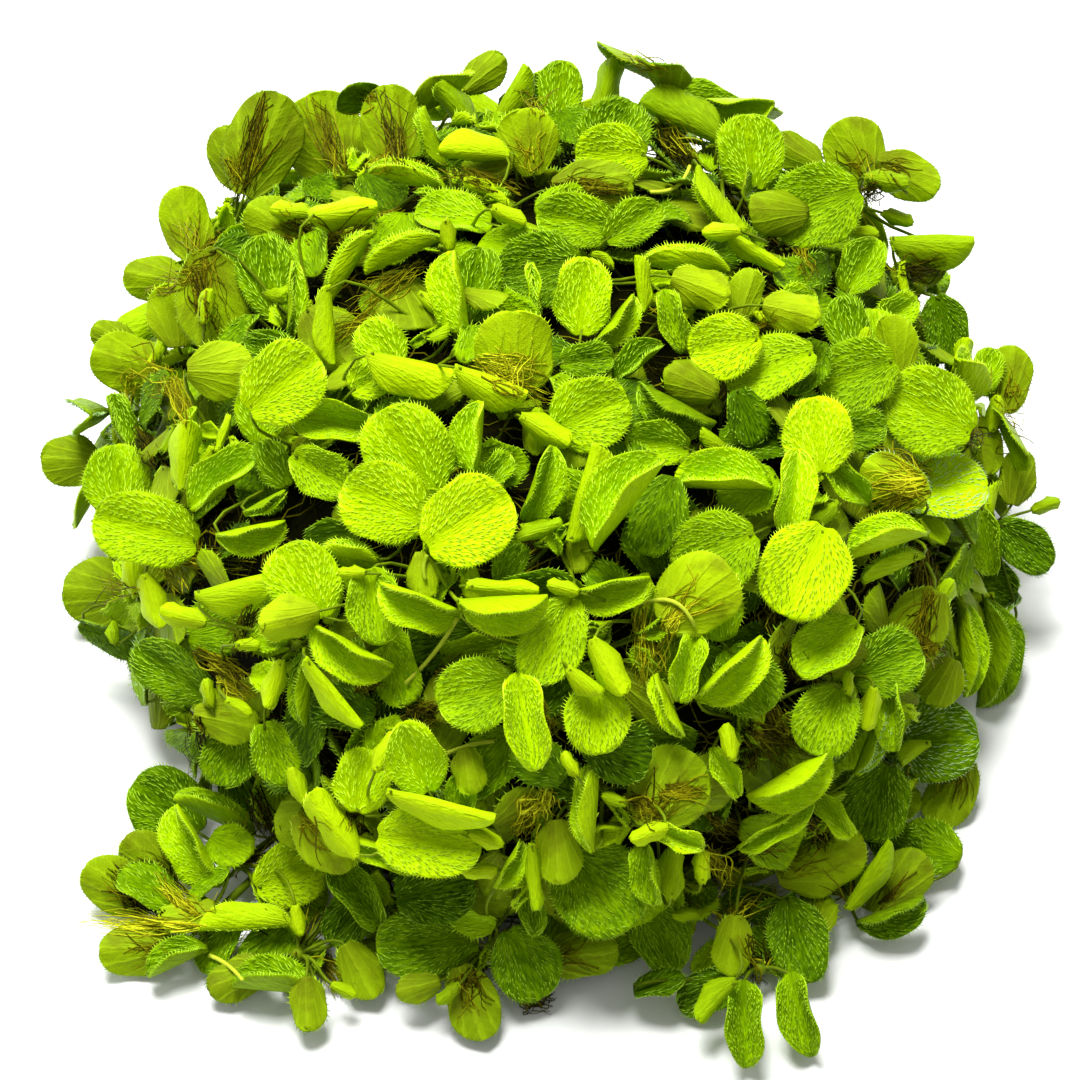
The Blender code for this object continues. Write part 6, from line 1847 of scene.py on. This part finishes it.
def blades_tree(growths):
    """The blades of all these growths, to lay threads over, and whether each of their faces looks up."""
    points, faces, upper, start = [], [], [], 0
    for growth in growths:
        under = np.concatenate(growth.paint)[:, 1]
        points += np.concatenate(growth.points).tolist()
        for face, finish in zip(growth.faces, growth.finishes):
            if finish == BLADE:
                faces.append([corner + start for corner in face])
                upper.append(under[face[0]] < CLOSED_UNDER)
        start += growth.count
    return BVHTree.FromPolygons(points, faces), upper


def laid_path(places, deepest, rise, behind, climb, drop):
    """A path over what shows at these places of the picture, or behind it where that is a leaf's upper face.

    It bridges what lies deeper than the deepest, and climbs and drops only so far from place to place.
    """
    path, depth = [], None
    for (across, up), limit in zip(places, deepest):
        ray = (EYE_AIM + VIEW_ACROSS * across + VIEW_UP * up - EYE).normalized()
        face, leaf_reach = cover.ray_cast(EYE, ray)[2:]
        mound_reach = tangle_tree.ray_cast(EYE, ray)[3]
        reach = min(leaf_reach or math.inf, mound_reach or math.inf, (FLOOR_RISE - EYE.z) / ray.z)
        reach = min(reach + (behind if reach == leaf_reach and upper_faces[face] else -rise), limit)
        depth = reach if depth is None else min(max(reach, depth - climb), depth + drop)
        point = EYE + ray * depth
        point.z = max(point.z, FLOOR_RISE)
        path.append(point)
    return path


def lay_strand(growth, start, end, count, tone):
    """A strand of fine threads that run together from one place of the picture to another."""
    near, far = ((as_seen(*place, STRAND_SHELL, FLOOR_RISE)[0] - EYE).length for place in (start, end))
    start, run = np.array(start), np.array(end) - np.array(start)
    aside = np.array((-run[1], run[0])) / math.hypot(*run)
    thinnest, thickest = STRAND_RADIUS
    for _ in range(count):
        first, last = chance.uniform(*STRAND_STARTS), chance.uniform(*STRAND_ENDS)
        share = np.linspace(first, last, STRAND_STEPS)[:, None]
        shift = chance.gauss(0, STRAND_SPREAD) * (STRAND_FOOT_SPREAD + (1 - STRAND_FOOT_SPREAD) * share)
        wave = chance.gauss(0, STRAND_WAVE)
        wave = wave * np.sin(share * chance.uniform(*STRAND_WAVES) + chance.uniform(0, FULL_TURN))
        deepest = near + (far - near) * share[:, 0] + chance.uniform(*STRAND_LAYER)
        path = laid_path(start + run * share + aside * (shift + wave), deepest, STRAND_RISE, STRAND_BEHIND,
                         STRAND_DROP, STRAND_DROP)
        radius = thinnest + (thickest - thinnest) * chance.random() ** 3
        radii = np.linspace(radius, radius * THREAD_TAPER, STRAND_STEPS)
        add_tube(growth, path, radii, THREAD_SIDES, ONLY_FINISH, tone + chance.uniform(*STRAND_TONES))


cover, upper_faces = blades_tree(grown)
strands = Growth()
for across, up, end_across, end_up, tone in STRANDS:
    lay_strand(strands, (across, up), (end_across, end_up), STRAND_THREADS, tone)
for leaf in leaves:
    if abs(leaf.roll) > BARE_ROLL and leaf.form in OPEN_FORMS and leaf.length > UPTURNED_LEAF:
        # The strands follow the leaf's tone, with the painted light and shade that it holds
        tone = UPTURNED_TONE[0] + leaf.tone * UPTURNED_TONE[1]
        base = leaf.place + leaf.turn @ blade_point(leaf.form, leaf.length, UPTURNED_BASE, 0)
        for side in UPTURNED_SIDES:
            over = leaf.place + leaf.turn @ blade_point(leaf.form, leaf.length, UPTURNED_REACH, side)
            lay_strand(strands, in_picture(base), in_picture(over), UPTURNED_THREADS, tone)
strands_piece = strands.make("root_strands", [root_finish])
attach(strands_piece, "root")


# Loose stems are bare lengths of old rhizome, round, pale and smooth, some green and some straw-coloured.
# They broke free of their leaves and lie across them in low bows, held by nothing but the wet. Each is
# written down as it shows in the picture, by its start, middle and end.
STEMS = (
    ((-15.8, -4.3), (-16.3, -6.0), (-16.0, -7.7)), ((-14.7, -5.2), (-13.6, -8.0), (-11.8, -10.4)),
    ((-11.8, -12.7), (-14.8, -17.3), (-18.7, -21.4)), ((14.0, 44.3), (17.4, 44.9), (19.3, 47.8)),
    ((-44.8, -57.6), (-42.4, -58.9), (-40.4, -60.9)), ((-13.1, -30.7), (-9.8, -29.6), (-6.9, -29.1)),
    ((12.3, -11.1), (16.9, -10.4), (19.9, -13.8)),
)
STEM_TONES = (0.6, 0.5, 0.95, 1.0, 0.9, 0.8, 0.85)
STEM_RINGS = 9
STEM_RISE = 0.45
STEM_CLIMB = 9.0
STEM_DROP = 0.6
STEM_RADII = (0.30, 0.24)

stems = Growth()
share = np.linspace(0.0, 1.0, STEM_RINGS)[:, None]
for stem, tone in zip(STEMS, STEM_TONES):
    start, middle, end = np.array(stem)
    bow = 2 * middle - (start + end) / 2
    places = (1 - share) ** 2 * start + 2 * (1 - share) * share * bow + share ** 2 * end
    path = np.array(laid_path(places, [math.inf] * STEM_RINGS, STEM_RISE, -STEM_RISE, STEM_CLIMB, STEM_DROP))
    path[1:-1] = (path[:-2] + path[1:-1] + path[2:]) / 3
    add_tube(stems, path, np.linspace(*STEM_RADII, STEM_RINGS), STALK_SIDES, ONLY_FINISH, tone)
stems_piece = stems.make("loose_stems", [stalk_finish])
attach(stems_piece, "root")

boxes = {"cad": cad_box, "visual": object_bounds()}
{name: [list(corner) for corner in box] for name, box in boxes.items()}
